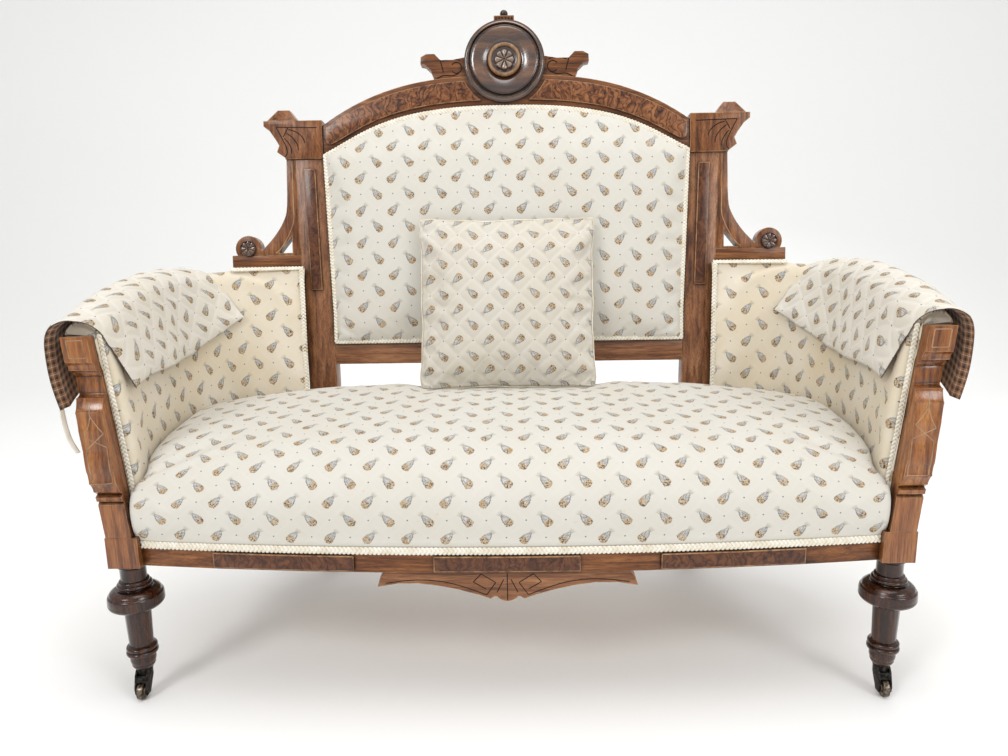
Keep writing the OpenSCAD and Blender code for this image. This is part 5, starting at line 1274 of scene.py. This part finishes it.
# Arm posts: a scrolled front with a deep hollow under a square block
armPost["profile"] = [      # mm: how far forward, height and how far it swells before the next point
    (25, 280, 0), (25, 334, 0), (21.5, 337.5, 0), (27.4, 341, 0.3), (28, 347, 0), (21.5, 350.3, 0),
    (29.5, 356.4, 0.25), (36.2, 371, 0.15), (36.2, 390, -0.04), (33.5, 420, 0), (33.4, 452, 0.05),
    (31.5, 480, 0.16), (22, 500, 0.3), (11, 504.5, -0.1), (9.2, 530, -0.25), (15.5, 538.6, 0),
    (25, 542, 0.25), (26.3, 551, 0), (30, 554.6, 0), (30, 592, 0)]
postLines = [[(.5, 494), (.52, 473)], [(.52, 473), (.34, 455), (.15, 443)], [(.15, 443), (.93, 427.6)],
             [(.93, 427.6), (.9, 373)], [(.52, 473), (.72, 459), (.92, 448.7)], [(.92, 448.7), (.14, 423)],
             [(.14, 423), (.14, 368)], [(.14, 368), (.9, 373)], [(.2, 561), (.8, 561)],
             [(.8, 561), (.8, 587)], [(.8, 587), (.2, 587)], [(.2, 587), (.2, 561)]]
outline = turned(armPost["profile"], 9)
backCorners = [(armPost["back"], armPost["top"]), (armPost["back"], armPost["foot"])]
postShape = np.vstack([outline * (-1, 1), backCorners])


def postSpot(u, y, z, flip):
    # u across the post, 0 at its outer side and 1 at its inner side
    x = legX + armPost["outset"] + (0.5 - u) * armPost["width"] + armPost["lean"] * (z - armPost["foot"])
    return place(np.stack([flip * x, y, z], axis=-1))


t = np.linspace(0, 1, 13)
for side, flip in bothSides:
    ends = [postSpot(np.full(len(postShape), u), postShape[:, 0], postShape[:, 1], flip) for u in (0.0, 1.0)]
    piece = makePiece("carved_arm_post_" + side, np.concatenate(ends), prismFaces(len(postShape)),
                      [finishes["walnutPost"], finishes["wornEdgeHighlight"]])
    easeEdges(piece, 1.1, 40)
    lines = []
    for line in postLines:
        line = np.asarray(line, float)
        curve = follow(line, t) if len(line) > 2 else line[0] + (line[1] - line[0]) * t[:, None]
        forward = -np.interp(curve[:, 1], outline[:, 1], outline[:, 0])
        lines.append(postSpot(curve[:, 0], forward, curve[:, 1], flip))
    engrave(piece, lines, 0.8, "groovePale")
    dress(piece, "frame", "walnut", "arm_post_" + side)
print("arm posts carved")

# Loose quilted covers over the arms, with a plaid wrong side
cover = {
    "shares": [(-.09, 0), (-.05, .25), (0, .6), (.08, .27), (.27, .07), (.5, 0), (.75, .03), (1.0, .16),
               (1.12, .42), (1.18, .9), (1.18, 1.3), (1.13, 1.7)],
    "outs": [(-1, 0), (-1, 0), (-.95, .2), (-.8, .6), (-.4, .9), (0, 1), (.2, 1), (.5, .85), (.9, .45),
             (1, .1), (1, 0), (1, -.1)],
    "hemAt": [0, .08, .3, .5, .7, .82],
    "hemShares": [.31, .33, .375, .375, .30, .225],      # the hem's depth below the ridge, at those places
    "gap": 3.4, "thick": 3.0, "puff": 2.6, "front": 24.0, "end": 0.66, "hemFront": 0.055, "hemBack": 0.15,
    "rows": 110, "cols": 120, "face": 2 / 11, "hang": 8.0, "scale": 0.93, "frontShare": 0.11,
}
i, t = np.meshgrid(np.linspace(0, 1, cover["rows"]), np.linspace(0, 1, cover["cols"]), indexing="ij")
k = follow(cover["shares"], t)
n = follow(cover["outs"], t)
flap = np.clip((0.42 - t) / 0.42, 0, 1) ** 0.85      # 1 at the hem on the seat side, 0 on the ridge
hangs = np.clip((cover["face"] - t) / cover["face"], 0, 1)
onArm = np.maximum(0, i - cover["frontShare"]) / 0.89
frontPart = np.maximum(0, cover["frontShare"] - i) / cover["frontShare"]      # the stretch before the arm
end = cover["end"] + cover["hemBack"] * flap - 0.01 * ease((t - 0.5) * 2)
sAt = (1 - flap) * onArm * end + flap * (cover["hemFront"] + i * (end - cover["hemFront"]))
drape = 1.6 * np.sin(sAt * 21 + 0.7) * hangs + 1.2 * np.sin(sAt * 17) * ease((t - 0.7) / 0.3)
lift = cover["hang"] * hangs ** 1.3 * (0.8 + 0.2 * np.sin(i * math.pi)) + drape
rollDrop = follow(cover["shares"], np.maximum(t, cover["face"]))[..., 1] * arms["rollH"]
hemDrop = np.interp(sAt, cover["hemAt"], cover["hemShares"]) * (ridge(sAt) - arms["low"])
drop = rollDrop + (hemDrop - rollDrop) * hangs


def coverSpot(out):
    z = ridge(sAt) - drop + n[..., 1] * out
    flat = armPoint(sAt, k[..., 0] * arms["rollW"] + n[..., 0] * (out + lift), z)
    flat[..., 1] -= cover["front"] * frontPart * (1 - flap)
    return flat


lining = coverSpot(cover["gap"])
runAlong = arcLengths(lining[:, 50:51], axis=0) * np.ones_like(i)
runAcross = arcLengths(lining, axis=1)
runAcross = runAcross - runAcross[:, 50:51]
quiltMap = np.stack([runAlong, runAcross], axis=-1) / 1000 / cover["scale"]
rimIn = np.minimum(np.minimum(i, 1 - i) * 260, np.minimum(t, 1 - t) * 300)   # mm in from the hems
puff = cover["puff"] * (1 - np.exp(-latticeGap(quiltMap[..., 0], quiltMap[..., 1]) / 5.0))
puff = puff * np.clip((rimIn - 4) / 8, 0.15, 1)
puff = puff * np.clip(np.abs(rimIn - 9) / 2.0, 0.25, 1)      # the stitched line inside the hem
thin = np.clip(rimIn / 6, 0.35, 1)                           # the hem is pressed thin
face = coverSpot(cover["gap"] + cover["thick"] * thin + puff * thin)
rows, cols = cover["rows"], cover["cols"]
quads = (rows - 1) * (cols - 1)
surface = [0] * quads + [1] * quads + [2] * len(rimOf(rows, cols))
for side, flip in bothSides:
    piece = makePiece("quilted_arm_cover_" + side, place(sided(stacked(face, lining), flip)),
                      shellFaces(rows, cols, flip == -1),
                      [finishes[k] for k in ("printQuilt", "plaid", "binding")],
                      stacked(quiltMap, quiltMap) * (-flip, 1), faceMaterials=surface)
    dress(piece, "cover_" + side, "quilted_cotton", "arm_cover_" + side)

# A tie tape hangs from the outer hem of the left cover
tape = {
    "width": 10.5, "length": 66.0, "thick": 1.0, "taper": 0.25, "rings": 34,
    "hang": [(0, 0), (.02, -.35), (.1, -.7), (.25, -1)],
}
top = sided(coverSpot(cover["gap"] + 1.5)[0, -1], -1)
t = np.linspace(0, 1, tape["rings"])
hang = follow(tape["hang"], t) * tape["length"]
middle = top + np.column_stack([hang[:, 0], 4.6 + 0.8 * np.sin(t * 5), hang[:, 1] - 0.4])
taper = 1 - tape["taper"] * t
twist = 0.5 * t
ring = []
for w, across in ((-1, (-1, -0.5, 0, 0.5, 1)), (1, (1, 0.5, 0, -0.5, -1))):
    for u in across:
        aside = u * tape["width"] / 2 * taper
        x = middle[:, 0] + w * tape["thick"] / 2 * np.cos(twist) + aside * np.sin(twist) * 0.6
        y = middle[:, 1] + aside * np.cos(twist * 0.6)
        ring.append(np.column_stack([x, y, middle[:, 2]]))
piece = makePiece("tie_tape", place(np.stack(ring, axis=1)), tubeFaces(tape["rings"], len(ring)),
                  [finishes["braid"]])
dress(piece, "cover_left", "gimp_braid", "cover_tie_tape")

# Throw pillow: a quilted square with a welted seam, leaning on the back
pillow = {                # mm and degrees
    "width": 342.0, "height": 334.0, "thick": 80.0, "edge": 7.0, "lean": 12.5, "y": 332.96, "foot": 428.6,
    "pinch": 0.03, "power": 0.5, "grid": 110, "welt": 2.1, "scale": 0.915, "puff": 2.4,
    "sim": {"pressure": 3.0, "cap": 7, "spare": 0.03},
}
a = np.linspace(-1, 1, pillow["grid"])
a = a * 0.35 + np.sin(a * math.pi / 2) * 0.65
a, b = np.meshgrid(a, a)
wobble = 1 + 0.006 * np.sin(b * 7.3 + 1) + 0.004 * np.sin(b * 15 + 2)
wobbleUp = 1 + 0.006 * np.sin(a * 6.1) + 0.004 * np.sin(a * 13 + 1)
x = a * pillow["width"] / 2 * (1 - pillow["pinch"] * (1 - b * b)) * wobble * 0.985
z = b * pillow["height"] / 2 * (1 - pillow["pinch"] * (1 - a * a)) * wobbleUp * 0.985
corner = np.maximum(0, np.abs(a) - 0.86) / 0.14 * (np.maximum(0, np.abs(b) - 0.86) / 0.14)
x, z = x * (1 - 0.014 * corner), z * (1 - 0.014 * corner)
swell = ((1 - a * a) * (1 - b * b)) ** pillow["power"]
half = pillow["edge"] / 2 + (pillow["thick"] - pillow["edge"] - 6) / 2 * swell
turnPillow = Matrix.Rotation(math.radians(-pillow["lean"]), 3, "X")


def pillowSpot(x, y, z):
    flat = np.stack([x, y, z + pillow["height"] / 2], axis=-1) @ np.array(turnPillow).T
    return place(flat + (0, pillow["y"], pillow["foot"]))


quiltMap = np.stack([z, -x], axis=-1) / 1000 / pillow["scale"] + (0.016, 0.009)
gap = latticeGap(quiltMap[..., 0], quiltMap[..., 1])
rimIn = np.minimum(1 - np.abs(a), 1 - np.abs(b))
waves = np.sin(a * 19 + 1.3 * np.sin(b * 7)) + np.sin(b * 23 + 1.1 * np.sin(a * 9))
creases = 2.2 * np.exp(-rimIn / 0.09) * waves * 0.5
fill = (pillow["puff"] * (1 - np.exp(-gap / 5.0)) + creases) * np.clip(rimIn / 0.05, 0, 1)
count = pillow["grid"] ** 2
rim = rimOf(pillow["grid"], pillow["grid"])
piece = makePiece("throw_pillow_quilted", stacked(pillowSpot(x, -half, z), pillowSpot(x, half, z)),
                  shellFaces(pillow["grid"], pillow["grid"]), [finishes["printPillowShaded"]],
                  stacked(quiltMap, quiltMap * (1, -1)))
plump(piece, pillow["sim"], np.concatenate([rim, count + np.array(rim)]))
spots = pointsOf(piece)
away = np.array(turnPillow) @ (0, -1, 0)
spots[:count] += away * (fill.reshape(-1, 1) / 1000)
spots[count:] -= away * (fill.reshape(-1, 1) / 1000) * 0.6
setPoints(piece, spots)
dress(piece, "pillow", "quilted_cotton", "throw_pillow")
rimSpots = pillowSpot(x.ravel()[rim], np.zeros(len(rim)), z.ravel()[rim])
outwards = rimSpots - rimSpots.mean(axis=0)
outwards /= np.linalg.norm(outwards, axis=1, keepdims=True)
loop = rimSpots + outwards * 0.0012
angle = np.arange(8) * 2 * math.pi / 8
ring = np.cos(angle)[None, :, None] * outwards[:, None] + np.sin(angle)[None, :, None] * away[None, None]
piece = makePiece("pillow_welt", loop[:, None] + pillow["welt"] / 1000 * ring, loopFaces(len(rim), 8),
                  [finishes["welt"]])
dress(piece, "pillow", "quilted_cotton")
print("throw pillow made")

# Plain outside cloth on the back and under the arms, and what is below the seat
outside = {"y0": 28.0, "thick": 1.5, "sag": 2.0}     # mm
a, b = np.meshgrid(np.linspace(-1, 1, 60), np.linspace(0, 1, 46))
x, h = backSpot(a, b, 0.5)
bow = outside["sag"] * (1 - a ** 2) * (1 - (2 * b - 1) ** 2)
outer = np.stack([x, outside["y0"] + outside["thick"] - bow, h], axis=-1)
inner = outer - (0, outside["thick"] * 0.9, 0)
piece = makePiece("outside_back_cloth", onBack(stacked(outer, inner)), shellFaces(46, 60, True),
                  [finishes["print"]], stacked(outer, inner)[:, [0, 2]] / 1000)
dress(piece, "frame", "foulard_cotton", "outside_back")
s, b = np.meshgrid(np.linspace(0.055, 1, 70), np.linspace(0, 1, 40), indexing="ij")
for side, flip in bothSides:
    top = ridge(s) - (1.5 + (arms["rollH"] * 0.9 - 1.5) * rolled(s))      # tucked up under the roll
    z = arms["low"] + (top - arms["low"]) * b
    bow = 2.0 * np.sin(b * math.pi) * np.sin(s * math.pi)
    outer, inner = armPoint(s, 50.0 - bow, z), armPoint(s, 48.6 - bow, z)
    along = arcLengths(outer[:, 20:21], axis=0)
    cloth = np.stack([along * np.ones_like(s), z], axis=-1) / 1000
    piece = makePiece("outside_arm_cloth_" + side, place(sided(stacked(outer, inner), flip)),
                      shellFaces(70, 40, flip == -1), [finishes["printArms"]],
                      stacked(cloth, cloth) * (flip, 1))
    dress(piece, "frame", "foulard_cotton", *(("outside_arms",) if flip == 1 else ()))
for node in ("back_webbing", "seat_webbing", "seat_hessian"):
    piece = softened(node, node + "_woven", finishes["jute"], 0.25)
    dress(piece, "frame", "jute", node)
print("outside cloth and webbing made")

# Casters, each on its own turning body
hood = {                  # the horn's solid crown, mm from the swivel axis
    "wheelR": 14.0, "trail": 14.0, "clear": 1.3, "side": 7.6, "axisFromBack": 12.0, "edge": 0.5,
    "crown": [(-14.4, 39.4), (-7.8, 39.4), (-7.8, 36.6), (-2.0, 36.0), (-2.0, 29.5)],
}
t = np.radians(np.linspace(58, 101, 12))
hoodArc = hood["wheelR"] + hood["clear"]
hoodOutline = np.column_stack([hoodArc * np.cos(t) - hood["trail"], hoodArc * np.sin(t) + hood["wheelR"]])
hoodOutline = np.vstack([hoodOutline, hood["crown"]])
for corner in ("front_left", "front_right", "rear_left", "rear_right"):
    piece = softened("caster_horn_" + corner, "caster_fork_" + corner, finishes["iron"], 0.5)
    dress(piece, "caster_" + corner, "caster_iron", "caster_horn_" + corner)
    low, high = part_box("caster_horn_" + corner)
    axis = np.array([(low.x + high.x) / 2, high.y - hood["axisFromBack"] / 1000, 0])
    spots = np.concatenate([np.insert(hoodOutline, 0, x, axis=1) for x in (-hood["side"], hood["side"])])
    piece = makePiece("caster_crown_" + corner, spots / 1000 + axis, prismFaces(len(hoodOutline)),
                      [finishes["iron"], finishes["iron"]], smooth=False)
    easeEdges(piece, hood["edge"])
    dress(piece, "caster_" + corner, "caster_iron")
    piece = softened("caster_wheel_" + corner, "caster_roller_" + corner, finishes["wheel"], 0.7)
    dress(piece, "wheel_" + corner, "caster_wheel", "caster_wheel_" + corner)
for node, finish in (("caster_stems", "iron"), ("seat_springs", "steel"), ("dowels", "beech"),
                     ("arm_rails", "oak"), ("corner_braces", "oak"), ("rear_rail", "oakAcross")):
    if not nodes[node].material_slots:
        nodes[node].data.materials.append(finishes[finish])
    for held in nodes[node].material_slots:
        held.material = finishes[finish]
print("casters and hidden frame finished")
